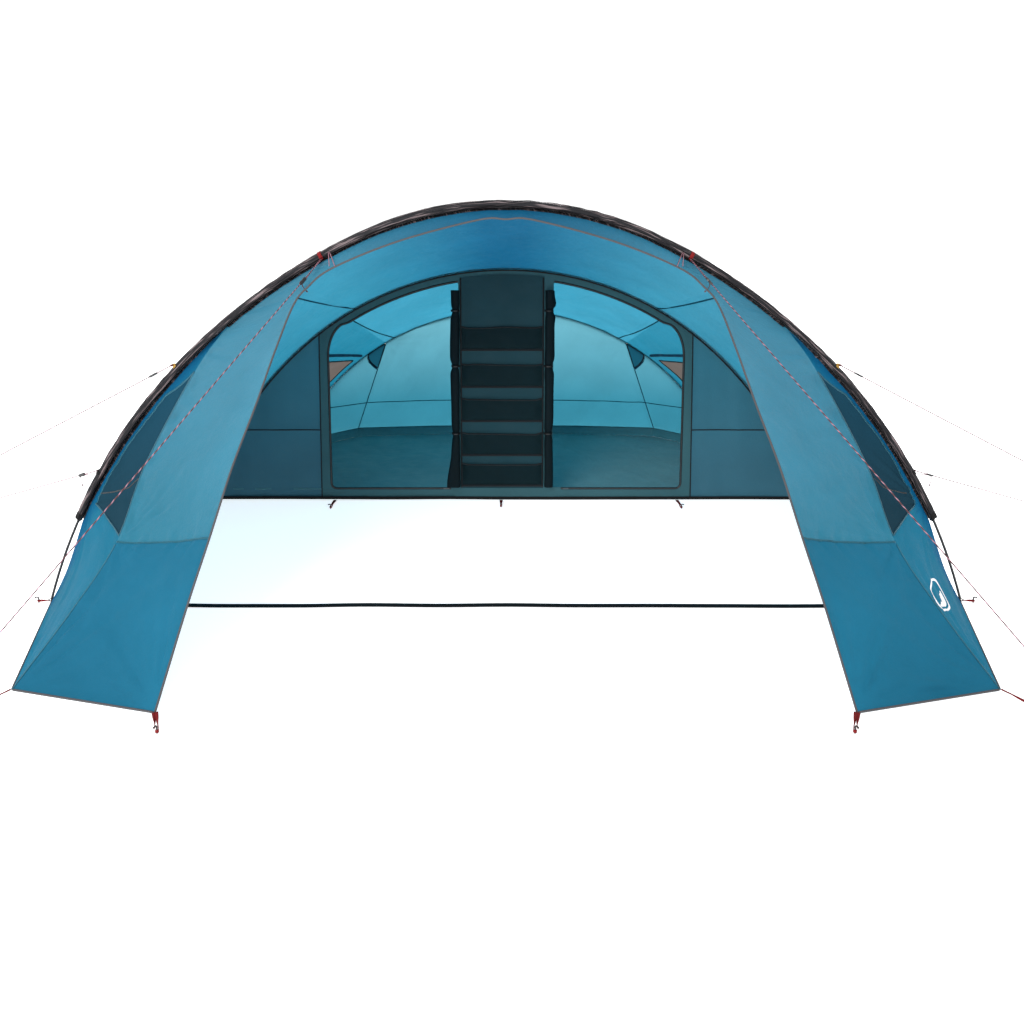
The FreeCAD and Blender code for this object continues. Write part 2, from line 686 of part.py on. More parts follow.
# ---- guy lines, pegs and loops -----------------------------------------------------------------------
# height at which a guy line meets its peg, and how far beyond the sleeve it starts
PEG_HOLD = 14
BAND_REACH = 9
GUYS = {
    # name: angle on the front arch, peg on the ground (right side), start of the runner
    "front": (28.5, V(2130, -4300, 0), 130),
    "upper": (45.9, V(3945, -2900, 0), 90),
    "lower": (58.8, V(3950, -1850, 0), 110),
}
HEM_PEGS = [V(1299, -3962, 0), V(2062, -3775, 0), V(2362, -2790, 0), V(2190, -1072, 0), V(1906, 472, 0),
            V(1195, -1245, 0), V(1440, 1060, 0)]
CENTRE_PEGS = [V(-34, -1214, 0), V(0, 1180, 0)]


def guy_ends(name, side):
    """Where a guy line starts on the sleeve's band and where it ends at its peg."""
    angle, peg, _ = GUYS[name]
    peg = mirror(peg, side) + V(0, 0, PEG_HOLD)
    anchor, tangent = front.point(side * angle), front_tangent(side * angle)
    pull = peg - anchor
    outward = (pull - tangent * pull.dot(tangent)).normalize()
    begin = anchor + outward * (dim("sleeve_radius") + BAND_REACH)
    return begin, peg - (peg - begin).normalize() * (dim("peg_radius") + 3)


def front_tangent(angle):
    turn = math.radians(angle)
    return V(math.cos(turn), 0, -math.sin(turn))


def guy_band(angle):
    """Webbing band over the outer side of the front sleeve."""
    spot, tangent = front.point(angle), front_tangent(angle)
    outward = V(math.sin(math.radians(angle)), 0, math.cos(math.radians(angle)))
    start = FreeCAD.Rotation(tangent, -105).multVec(outward)
    ring = Part.makeCircle(2.6, spot + start * (dim("sleeve_radius") + 3.4), tangent.cross(start))
    return Part.Face(Part.Wire(ring)).revolve(spot, tangent, 210)


def make_guys():
    bands = []
    for name, (angle, _, start) in GUYS.items():
        for side, word in ((-1, "left"), (1, "right")):
            begin, end = guy_ends(name, side)
            along = (end - begin).normalize()
            cord = Part.makeCylinder(dim("guy_radius"), begin.distanceToPoint(end), begin, along)
            feature("guy_%s_%s" % (name, word), cord)
            runner(name, word, begin + along * start, along)
            bands.append(guy_band(side * angle))
    for side in (-1, 1):
        top = front.point(side * 27.6, 4, -26)
        bands.append(ribbon(top, mirror(OPENING[3], side) + V(0, -3, 9), 6, 1.5))
    feature("guy_bands", Part.makeCompound(bands))


def runner(name, word, spot, along):
    """Line runner: an oblong block bored along the guy line, with a waist to grip."""
    label = "runner_%s_%s" % (name, word)
    body = doc.addObject("PartDesign::Body", label)
    sketch = sketch_on(body, "XY_Plane", label + "_outline")
    long, wide = dim("runner_length"), dim("runner_width")
    add_loop(sketch, [V(0, -wide * 0.35, 0), V(long * 0.12, -wide / 2, 0), V(long * 0.3, -wide / 2, 0),
                      V(long * 0.5, -wide * 0.36, 0), V(long * 0.7, -wide / 2, 0),
                      V(long * 0.88, -wide / 2, 0), V(long, -wide * 0.35, 0), V(long, wide * 0.35, 0),
                      V(long * 0.88, wide / 2, 0), V(long * 0.12, wide / 2, 0), V(0, wide * 0.35, 0)])
    block = pad(body, sketch, "Dims.runner_thickness")
    block.Midplane = True
    doc.recompute()
    bore = sketch_on(body, "YZ_Plane", label + "_bore")
    bore.addGeometry(Part.Circle(V(0, 0, 0), V(0, 0, 1), dim("runner_bore")), False)
    hole = body.newObject("PartDesign::Pocket", label + "_hole")
    hole.Profile = bore
    hole.Midplane = True
    hole.Length = 4 * long
    body.Placement = FreeCAD.Placement(spot, FreeCAD.Rotation(V(1, 0, 0), along))
    keep(body, label)


def ribbon(start, end, width, thickness):
    """Flat webbing between two points, with its width as level as it can be."""
    along = (end - start).normalize()
    across = along.cross(V(0, 0, 1)).normalize() * (width / 2)
    up = across.cross(along).normalize() * (thickness / 2)
    rings = [[p + across * a + up * b for a, b in ((-1, -1), (1, -1), (1, 1), (-1, 1))]
             for p in (start, end)]
    low, high = rings
    triangles = [(low[0], low[1], low[2]), (low[0], low[2], low[3]),
                 (high[0], high[2], high[1]), (high[0], high[3], high[2])]
    for k in range(4):
        n = (k + 1) % 4
        triangles += [(low[k], high[k], high[n]), (low[k], high[n], low[n])]
    return closed_solid(triangles)


def peg(spot, lean):
    """Driven peg: straight shaft and a hook at the top that points away from the tent."""
    shaft = Part.makeCylinder(dim("peg_radius"), dim("peg_depth") + dim("peg_top"),
                              spot - V(0, 0, dim("peg_depth")))
    axis = lean.cross(V(0, 0, 1)).normalize()
    bend = spot + V(0, 0, dim("peg_top")) + lean * dim("hook_radius")
    circle = Part.makeCircle(dim("peg_radius"), spot + V(0, 0, dim("peg_top")), V(0, 0, 1))
    hook = Part.Face(Part.Wire(circle)).revolve(bend, axis * -1, 150)
    if hook.BoundBox.ZMax < dim("peg_top") + dim("peg_radius"):
        hook = Part.Face(Part.Wire(circle)).revolve(bend, axis, 150)
    return shaft.fuse(hook)


def make_pegs_and_loops():
    pegs, loops = [], []
    spots = [mirror(p, side) for p in HEM_PEGS for side in (-1, 1)] + CENTRE_PEGS
    spots += [mirror(entry[1], side) for entry in GUYS.values() for side in (-1, 1)]
    for spot in spots:
        away = V(spot.x, spot.y + 900, 0).normalize()
        pegs.append(peg(spot, away))
    feature("pegs", Part.makeCompound(pegs))
    hems = [V(1359, -3832, 0), V(2010, -3659, 0), V(2318, -2786, 0), V(2146, -1057, 0), V(1867, 456, 0),
            V(1195, -1080, 0), V(1404, 1000, 0)]
    pairs = [(mirror(h, side), mirror(p, side)) for h, p in zip(hems, HEM_PEGS) for side in (-1, 1)]
    pairs += [(V(-34, -1080, 0), CENTRE_PEGS[0]), (V(0, 1120, 0), CENTRE_PEGS[1])]
    for hem, spot in pairs:
        away = (spot - hem).normalize()
        lift = V(0, 0, 9)
        loops.append(ribbon(hem + away * 9 + lift, spot - away * (dim("peg_radius") + 0.8) + lift, 14, 1.6))
    feature("peg_loops", Part.makeCompound(loops))


# ---- build, check and write ---------------------------------------------------------------------------
make_poles()
make_sleeves()
make_bays()
make_rear_wall()
make_brow_and_wings()
make_piping()
make_ground_strap()
make_inner_wall()
make_groundsheet()
make_organiser()
make_door_rolls()
make_zips()
make_guys()
make_pegs_and_loops()
doc.recompute()

for obj in doc.Objects:
    bad = [word for word in obj.State if word in ("Invalid", "Error")]
    if bad:
        raise RuntimeError("%s is %s" % (obj.Name, bad))
for obj in parts:
    if obj.Shape.isNull() or not obj.Shape.isValid() or obj.Shape.Volume <= 0:
        raise RuntimeError("%s has no valid solid" % obj.Label)

os.makedirs("parts", exist_ok=True)
for obj in parts:
    obj.Shape.exportStep(os.path.join("parts", obj.Label + ".step"))
print(len(parts), "parts written")
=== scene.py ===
"""Looks of the tunnel family tent: sewn cloth, sleeves, inner wall, rigging and finishes.

Metres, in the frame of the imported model: +X right as seen from the porch, -Y the open front, +Z up.
"""
import itertools
import math

import bpy
import numpy as np
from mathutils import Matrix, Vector, geometry


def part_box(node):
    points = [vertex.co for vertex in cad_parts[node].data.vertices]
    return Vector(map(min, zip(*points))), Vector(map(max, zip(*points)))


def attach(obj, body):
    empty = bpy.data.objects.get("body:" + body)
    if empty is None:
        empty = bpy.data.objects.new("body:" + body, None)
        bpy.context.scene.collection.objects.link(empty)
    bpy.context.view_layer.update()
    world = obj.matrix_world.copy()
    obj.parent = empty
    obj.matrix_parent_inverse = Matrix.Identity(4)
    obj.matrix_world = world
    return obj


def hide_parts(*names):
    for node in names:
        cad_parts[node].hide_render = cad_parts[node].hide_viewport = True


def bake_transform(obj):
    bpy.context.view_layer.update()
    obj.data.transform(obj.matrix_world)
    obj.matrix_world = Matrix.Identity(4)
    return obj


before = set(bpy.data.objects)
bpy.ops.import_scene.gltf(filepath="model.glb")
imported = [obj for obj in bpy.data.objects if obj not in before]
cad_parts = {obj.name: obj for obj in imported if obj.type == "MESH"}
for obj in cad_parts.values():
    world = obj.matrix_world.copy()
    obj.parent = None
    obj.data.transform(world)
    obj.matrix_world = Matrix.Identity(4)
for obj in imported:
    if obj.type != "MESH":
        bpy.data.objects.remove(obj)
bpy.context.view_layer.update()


# ---- camera and stage -------------------------------------------------------------------------------
LENS, FILM_WIDTH, LENS_SHIFT = 30.59, 36, (0.00586, -0.1481)
EYE, TILT_DOWN = (0, -6.977, 1.825), 8


def look():
    """Camera on the porch's centre line, at eye height and tilted a little down."""
    data = bpy.data.cameras.new("camera")
    data.sensor_width = FILM_WIDTH
    data.lens = LENS
    data.shift_x, data.shift_y = LENS_SHIFT
    camera = bpy.data.objects.new("camera", data)
    camera.location = EYE
    camera.rotation_euler = (math.radians(90 - TILT_DOWN), 0, 0)
    bpy.context.collection.objects.link(camera)
    bpy.context.scene.camera = camera


look()

# ---- sizes ------------------------------------------------------------------------------------------
POLE_RADIUS, SLEEVE_END, HEM, INSET, CUT_BACK = 0.00635, 0.440, 0.003, 0.021, 0.004
STEP = 0.013
INSIDE = np.array([0.0, -1.2, 0.5])
SIDES = ((-1, "left"), (1, "right"))


# ---- node materials ---------------------------------------------------------------------------------
def node(tree, kind, inputs=None, **settings):
    """Adds a shader node; an input is a number, a colour or another node's output."""
    made = tree.nodes.new("ShaderNode" + kind)
    for name, value in settings.items():
        setattr(made, name, value)
    for name, value in (inputs or {}).items():
        socket = made.inputs[name]
        if isinstance(value, bpy.types.NodeSocket):
            tree.links.new(value, socket)
        else:
            socket.default_value = value
    return made


def shades(tree, factor, dark, light):
    """Colour between two, by a factor from 0 to 1."""
    mix = node(tree, "Mix", {"Factor": factor}, data_type="RGBA")
    mix.inputs[6].default_value = (*dark, 1)
    mix.inputs[7].default_value = (*light, 1)
    return mix.outputs[2]


def noise_of(tree, place, scale, detail=4.0, rough=0.5):
    return node(tree, "TexNoise", {"Vector": place, "Scale": scale, "Detail": detail,
                                   "Roughness": rough}).outputs["Fac"]


def ranged(tree, value, low, high, start=0.3, end=0.7):
    return node(tree, "MapRange", {"Value": value, "From Min": start, "From Max": end,
                                   "To Min": low, "To Max": high}).outputs["Result"]


def raised(tree, height, distance, strength=1.0, before=None):
    inputs = {"Height": height, "Distance": distance, "Strength": strength}
    if before is not None:
        inputs["Normal"] = before
    return node(tree, "Bump", inputs).outputs["Normal"]


def scaled(colour, by):
    return tuple(min(1.0, c * by) for c in colour)


def start_material(name):
    material = bpy.data.materials.new(name)
    material.use_nodes = True
    tree = material.node_tree
    tree.nodes.clear()
    return material, tree


def put_out(tree, shader):
    out = node(tree, "OutputMaterial")
    tree.links.new(shader, out.inputs["Surface"])


def threads(tree, place, pitch):
    """Height of a plain weave, from two crossed sets of threads with the same pitch in metres."""
    sets = [node(tree, "TexWave", {"Vector": place, "Scale": 1 / (pitch * 6.283) * 3.14159,
                                   "Distortion": 0.4, "Detail": 1.0}, bands_direction=axis).outputs["Fac"]
            for axis in ("X", "Y")]
    return node(tree, "Math", {0: sets[0], 1: sets[1]}, operation="MULTIPLY").outputs["Value"]


def graded(tree, tone, axis, start, end, factor):
    """Multiplies a tone by a colour where the place along an axis is below start, and less up to end.

    The axis is X or Z of the tent, X on both sides alike, or U across the cloth.
    """
    place = node(tree, "TexCoord").outputs["UV" if axis == "U" else "Object"]
    value = node(tree, "SeparateXYZ", {"Vector": place}).outputs["X" if axis == "U" else axis]
    value = node(tree, "Math", {0: value}, operation="ABSOLUTE").outputs["Value"]
    mix = node(tree, "Mix", {"Factor": ranged(tree, value, 1, 0, start, end)}, data_type="RGBA",
               blend_type="MULTIPLY")
    tree.links.new(tone, mix.inputs[6])
    mix.inputs[7].default_value = (*factor, 1)
    return mix.outputs[2]


def cloth_material(name, colour, rough=0.55, pitch=0.0016, crinkle=0.6, through=None, clear=0.0,
                   sheen=0.05, shine=0.4, bend=1.25, painted_highlights=None, place="UV", grades=()):
    """Woven cloth: colour that varies a little, creases, threads and, if thin, light from behind; streaks of
    painted highlight along it if asked, and grades that darken it by place.
    """
    material, tree = start_material(name)
    spot = node(tree, "TexCoord").outputs[place]
    patches = noise_of(tree, spot, 2.2, 5)
    fine = noise_of(tree, spot, 190, 3)
    mixed = node(tree, "Math", {0: patches, 1: ranged(tree, fine, -0.12, 0.12)}, operation="ADD")
    tone = shades(tree, ranged(tree, mixed.outputs["Value"], 0, 1), scaled(colour, 0.92),
                  scaled(colour, 1.08))
    creases = raised(tree, noise_of(tree, spot, 16, 6, 0.62), 0.006, crinkle)
    # Painted highlight: light streaks along the cloth stand in for glints on its gathers; the same streaks
    # also raise a bump.
    if painted_highlights:
        drawn = node(tree, "Mapping", {"Vector": spot, "Rotation": (0, 0, 0.10), "Scale": (150, 6.0, 1)})
        lines = noise_of(tree, drawn.outputs["Vector"], 1.0, 2, 0.4)
        tone = shades(tree, ranged(tree, lines, 0, 1, 0.54, 0.66), colour, painted_highlights)
        creases = raised(tree, lines, 0.004, 0.8, creases)
    normal = raised(tree, threads(tree, spot, pitch), 0.0003, 0.5, creases)
    gloss = ranged(tree, noise_of(tree, spot, 7, 4), rough - 0.07, rough + 0.09)
    for grade in grades:
        tone = graded(tree, tone, *grade)
    front = node(tree, "BsdfPrincipled", {"Base Color": tone, "Roughness": gloss, "Normal": normal,
                                          "Sheen Weight": sheen, "Sheen Roughness": 0.4,
                                          "Specular IOR Level": shine, "IOR": bend})
    shader = front.outputs["BSDF"]
    if through:
        lit, share = through
        lit = shades(tree, ranged(tree, patches, 0, 1), scaled(lit, 0.92), scaled(lit, 1.08))
        for grade in grades:
            lit = graded(tree, lit, *grade)
        behind = node(tree, "BsdfTranslucent", {"Color": lit, "Normal": creases})
        mix = node(tree, "MixShader", {0: share, 1: shader, 2: behind.outputs["BSDF"]})
        shader = mix.outputs["Shader"]
    if clear:
        open_part = node(tree, "BsdfTransparent")
        mix = node(tree, "MixShader", {0: clear, 1: shader, 2: open_part.outputs["BSDF"]})
        shader = mix.outputs["Shader"]
    put_out(tree, shader)
    return material


def webbing_material(name, colour, sheen=0.1, place="UV"):
    """Coarse flat webbing: crosswise ribs, its tone lighter on the high threads and darker between them."""
    material, tree = start_material(name)
    spot = node(tree, "TexCoord").outputs[place]
    ribs = threads(tree, spot, 0.003)
    tone = shades(tree, ranged(tree, ribs, 0, 1, 0.1, 0.9), scaled(colour, 0.6), scaled(colour, 1.35))
    normal = raised(tree, ribs, 0.0008, 0.8)
    shader = node(tree, "BsdfPrincipled", {"Base Color": tone, "Roughness": 0.7, "Normal": normal,
                                           "Sheen Weight": sheen, "Specular IOR Level": 0.2})
    put_out(tree, shader.outputs["BSDF"])
    return material


def hard_material(name, colour, rough, metallic=0.0, scratches=120, depth=0.0003, coat=0.0):
    """Moulded or drawn hard surface: fine mottling, uneven gloss and small scratches."""
    material, tree = start_material(name)
    spot = node(tree, "TexCoord").outputs["Object"]
    mottled = noise_of(tree, spot, scratches, 6)
    tone = shades(tree, ranged(tree, mottled, 0, 1), scaled(colour, 0.8), scaled(colour, 1.2))
    gloss = ranged(tree, noise_of(tree, spot, 30, 5), rough - 0.08, rough + 0.12)
    normal = raised(tree, mottled, depth, 0.5)
    shader = node(tree, "BsdfPrincipled", {"Base Color": tone, "Roughness": gloss, "Normal": normal,
                                           "Metallic": metallic, "Coat Weight": coat})
    put_out(tree, shader.outputs["BSDF"])
    return material


def cord_material(name, colour, fleck):
    """Braided cord with light reflective flecks that wind round it."""
    material, tree = start_material(name)
    spot = node(tree, "TexCoord").outputs["UV"]
    long = node(tree, "Mapping", {"Vector": spot, "Scale": (190, 2, 1)}).outputs["Vector"]
    wound = node(tree, "TexWave", {"Vector": long, "Scale": 0.32, "Distortion": 0.6},
                 bands_direction="DIAGONAL").outputs["Fac"]
    tone = shades(tree, ranged(tree, wound, 0, 1, 0.60, 0.75), colour, fleck)
    braid = node(tree, "Mapping", {"Vector": spot, "Scale": (900, 6, 1)}).outputs["Vector"]
    strands = node(tree, "TexWave", {"Vector": braid, "Scale": 0.5},
                   bands_direction="DIAGONAL").outputs["Fac"]
    shader = node(tree, "BsdfPrincipled", {"Base Color": tone, "Roughness": 0.6,
                                           "Normal": raised(tree, strands, 0.0005, 0.8)})
    put_out(tree, shader.outputs["BSDF"])
    return material


# Painted shade: the fly cloth grows darker below 1.3 m, most below 0.5 m, where less light falls, and the
# canopy darker towards its crown.
LOW_WING_SHADE = ("Z", 0.50, 1.30, (0.46, 0.78, 0.80))
CROWN_SHADE = ("X", 0.10, 0.95, (0.12, 0.44, 0.60))
FLY = cloth_material("fly_cloth", (0.045, 0.140, 0.185), 0.45, through=((0.03, 0.36, 0.56), 0.36),
                     crinkle=0.9, grades=[LOW_WING_SHADE])
CANOPY = cloth_material("canopy_cloth", (0.045, 0.150, 0.200), 0.45, through=((0.03, 0.36, 0.56), 0.36),
                        crinkle=0.9, grades=[CROWN_SHADE])
# The bedroom roof is the canopy's cloth with a stronger, brighter light from behind: a lit copy of it,
# painted light.
LIT_BED_ROOF = cloth_material("bed_roof_lit_cloth", (0.045, 0.150, 0.200), 0.45, through=((0.06, 0.44, 0.66), 0.38),
                          crinkle=0.9)
# The wing sides are the fly cloth made darker, painted shade of the less lit sides, and darker still near the
# arch edge, more painted shade.
SHADED_WING_SIDE = cloth_material("wing_side_cloth", (0.014, 0.098, 0.150), 0.5, through=((0.015, 0.30, 0.48), 0.34),
                           crinkle=0.9, sheen=0.0, shine=0.12, bend=1.1,
                           grades=[("U", 0.0, 0.15, (0.30, 0.62, 0.88))])
SKIRT = cloth_material("fly_skirt", (0.010, 0.082, 0.135), 0.45, through=((0.012, 0.26, 0.42), 0.25),
                       sheen=0.0, shine=0.3, bend=1.15)
# The rear wall is darker towards the bottom: painted shade.
REAR = cloth_material("rear_cloth", (0.085, 0.24, 0.31), 0.5, through=((0.17, 0.50, 0.61), 0.36), crinkle=0.4,
                      grades=[("Z", 0.34, 1.10, (0.28, 0.60, 0.68))])
# The sleeve's light streaks are painted highlights of its gathers.
SLEEVE = cloth_material("sleeve_cloth", (0.010, 0.010, 0.012), 0.5, crinkle=0.5, painted_highlights=(0.15, 0.118, 0.122))
INNER = cloth_material("inner_cloth", (0.034, 0.095, 0.108), 0.62, crinkle=0.35,
                       through=((0.02, 0.12, 0.15), 0.10))
HEADER = cloth_material("organiser_cloth", (0.008, 0.036, 0.046), 0.62, crinkle=0.35)
# The inner wall's side panels are darker low down: painted shade.
SIDE_INNER = cloth_material("inner_side_cloth", (0.034, 0.145, 0.195), 0.62, crinkle=0.35,
                            through=((0.015, 0.14, 0.20), 0.10),
                            grades=[("Z", 0.25, 0.95, (1.0, 0.76, 0.76))])
TUB = cloth_material("tub_cloth", (0.135, 0.275, 0.290), 0.42, pitch=0.003, crinkle=0.8)
TUB_WALL = cloth_material("tub_wall_cloth", (0.070, 0.190, 0.215), 0.5, pitch=0.003,
                          through=((0.05, 0.22, 0.27), 0.30))
FILM = cloth_material("window_film", (0.0085, 0.042, 0.070), 0.6, crinkle=0.3, sheen=0.0, shine=0.12,
                      bend=1.06, grades=[("Z", 0.5, 1.2, (1.0, 0.72, 0.66))])
SMOKE_FILM = cloth_material("smoke_film", (0.085, 0.075, 0.070), 0.5, crinkle=0.3, sheen=0.0, shine=0.15,
                            bend=1.1, through=((0.17, 0.140, 0.125), 0.5))
CURTAIN = cloth_material("curtain_cloth", (0.006, 0.045, 0.090), 0.55, crinkle=0.6)
NETTING = cloth_material("netting", (0.008, 0.045, 0.070), 0.6, pitch=0.004, shine=0.1, bend=1.1,
                         through=((0.015, 0.15, 0.24), 0.25))
POCKET = cloth_material("pocket_mesh", (0.0030, 0.0120, 0.0150), 0.65, pitch=0.003, clear=0.06, sheen=0.0,
                        shine=0.2)
DOOR = cloth_material("door_cloth", (0.0025, 0.007, 0.009), 0.6, crinkle=0.9, sheen=0.0, shine=0.2)
PIPING = cloth_material("piping", (0.060, 0.058, 0.062), 0.6, pitch=0.001, sheen=0.0)
SEAM_TAPE = cloth_material("seam_tape", (0.006, 0.040, 0.066), 0.55, pitch=0.001, sheen=0.0, shine=0.1)
PATCH = cloth_material("plain_patch", (0.72, 0.74, 0.76), 0.5, pitch=0.001, crinkle=0.1)
BLACK_WEB = webbing_material("webbing_black", (0.004, 0.004, 0.0045), 0.0)
RED_WEB = webbing_material("webbing_red", (0.20, 0.005, 0.006), 0.0)
AMBER_WEB = webbing_material("webbing_amber", (0.42, 0.23, 0.03))
ZIP_TAPE = webbing_material("zip_tape", (0.004, 0.006, 0.008))
GUY = cord_material("guy_cord", (0.055, 0.008, 0.011), (0.27, 0.13, 0.17))
FIBREGLASS = hard_material("pole_fibreglass", (0.006, 0.006, 0.007), 0.4, coat=0.1)
STEEL = hard_material("plated_steel", (0.58, 0.59, 0.61), 0.32, metallic=1.0)
ELASTIC = hard_material("elastic", (0.03, 0.03, 0.03), 0.8)
PEG_STEEL = hard_material("peg_steel", (0.020, 0.012, 0.012), 0.45, metallic=0.3)
ZIP_METAL = hard_material("zip_metal", (0.09, 0.095, 0.10), 0.35, metallic=0.9)
NYLON = hard_material("runner_nylon", (0.008, 0.008, 0.009), 0.4)


# ---- mesh tools -------------------------------------------------------------------------------------
def unit(vectors):
    length = np.linalg.norm(vectors, axis=-1, keepdims=True)
    return vectors / np.maximum(length, 1e-12)


def ripple(x, y, seed):
    """Smooth noise from -1 to 1 over two directions, about one bump to a unit."""
    x, y = np.broadcast_arrays(x, y)
    size = 67
    table = np.random.RandomState(seed).uniform(-1, 1, (size, size))
    i, j = np.floor(x).astype(int), np.floor(y).astype(int)
    a, b = x - i, y - j
    a, b = a * a * (3 - 2 * a), b * b * (3 - 2 * b)
    low = table[i % size, j % size] * (1 - a) + table[(i + 1) % size, j % size] * a
    high = table[i % size, (j + 1) % size] * (1 - a) + table[(i + 1) % size, (j + 1) % size] * a
    return low * (1 - b) + high * b


def eased(value):
    value = np.clip(value, 0, 1)
    return value * value * (3 - 2 * value)


def smooth_line(points, stations):
    """Catmull-Rom curve through points, read at stations counted in points."""
    points, stations = np.asarray(points, float), np.asarray(stations, float)
    padded = np.vstack([2 * points[0] - points[1], points, 2 * points[-1] - points[-2]])
    i = np.clip(np.floor(stations).astype(int), 0, len(points) - 2)
    f = (stations - i)[:, None]
    a, b, c, d = (padded[i + k] for k in range(4))
    return 0.5 * (2 * b + (c - a) * f + (2 * a - 5 * b + 4 * c - d) * f ** 2
                  + (3 * b - a - 3 * c + d) * f ** 3)


def marks(stops, length, step=STEP):
    """Stations between stops, close enough for a step along a length given for the whole run."""
    found = [np.array([stops[0]])]
    for low, high in zip(stops, stops[1:]):
        count = max(1, math.ceil(length * (high - low) / (stops[-1] - stops[0]) / step))
        found.append(np.linspace(low, high, count + 1)[1:])
    return np.concatenate(found)


def between(one, two, shares):
    """Grid of straight rows from line one to line two: a row per share."""
    shares = np.asarray(shares)[:, None, None]
    return one[None] * (1 - shares) + two[None] * shares


def run_along(grid, axis):
    """Length run so far along a grid's axis, in metres."""
    steps = np.linalg.norm(np.diff(grid, axis=axis), axis=2)
    start = np.zeros_like(np.take(steps, [0], axis))
    return np.concatenate([start, np.cumsum(steps, axis)], axis)


def outward_normals(grid):
    down, across = np.gradient(grid, axis=0), np.gradient(grid, axis=1)
    normals = unit(np.cross(down, across))
    away = np.sum(normals * (grid - INSIDE), axis=2, keepdims=True)
    return np.where(away < 0, -normals, normals)


def edge_distance(grid):
    """Distance to the nearest edge of a grid along its lines."""
    down, across = run_along(grid, 0), run_along(grid, 1)
    return np.minimum(np.minimum(down, down[-1:] - down), np.minimum(across, across[:, -1:] - across))


def fan(grid, corner, folds, height, reach, seed):
    """Folds that spread from a corner that is pulled, and fade away from it."""
    arm = grid - np.asarray(corner)
    far = np.linalg.norm(arm, axis=2)
    main = unit(np.mean(arm, axis=(0, 1)))
    normal = unit(np.mean(outward_normals(grid), axis=(0, 1)))
    side = unit(np.cross(normal, main))
    angle = np.arctan2(arm @ side, arm @ main)
    swing = ripple(angle * folds, far * 0 + seed * 0.37, seed)
    return swing * height * eased(far / (0.35 * reach)) * np.exp(-far / reach)


def puckers(run, away, height, reach, pitch, seed):
    """Short creases square to a seam: run goes along it and away is the distance from it."""
    slant = run / pitch + away / (2.6 * pitch)
    return height * ripple(slant, away / 0.16, seed) * eased(away / 0.012) * np.exp(-away / reach)


def pulled_cloth(grid, seed, sag=0.0, folds=0.006, gather=0.003, fans=(), axis=0, extra=0.0,
                 rim=(0.0, 0.035)):
    """Moves a grid's points as sewn and pulled cloth does; its edges stay where they are.

    rim is how far from the edges the cloth starts to move, and over what distance it comes free.
    """
    along, across = run_along(grid, axis), run_along(grid, 1 - axis)
    span = np.max(along, axis=axis, keepdims=True)
    near = np.minimum(along, span - along)
    rim = eased((edge_distance(grid) - rim[0]) / rim[1])
    share = along / np.maximum(span, 1e-6)
    move = -sag * 4 * share * (1 - share)
    move = move + folds * ripple(across / 0.17, along / 0.75, seed) * eased(near / 0.25)
    move = move + 0.4 * folds * ripple(across / 0.07 + along / 0.3, along / 0.3, seed + 1)
    move = move + gather * ripple(across / 0.026, along / 0.16, seed + 2) * np.exp(-near / 0.09)
    move = move + 0.0007 * ripple(across / 0.045, along / 0.045, seed + 3)
    for corner, count, height, reach in fans:
        move = move + fan(grid, corner, count, height, reach, seed + 5)
    move = move + extra
    return grid + outward_normals(grid) * (move * rim)[..., None]


def resampled(line, step, closed=False):
    """Points at even spacing along a line."""
    line = np.asarray(line, float)
    if closed:
        line = np.vstack([line, line[:1]])
    run = np.concatenate([[0], np.cumsum(np.linalg.norm(np.diff(line, axis=0), axis=1))])
    count = max(2, int(round(run[-1] / step)) + 1)
    stations = np.linspace(0, run[-1], count)
    made = np.stack([np.interp(stations, run, line[:, k]) for k in range(line.shape[1])], 1)
    return made[:-1] if closed else made


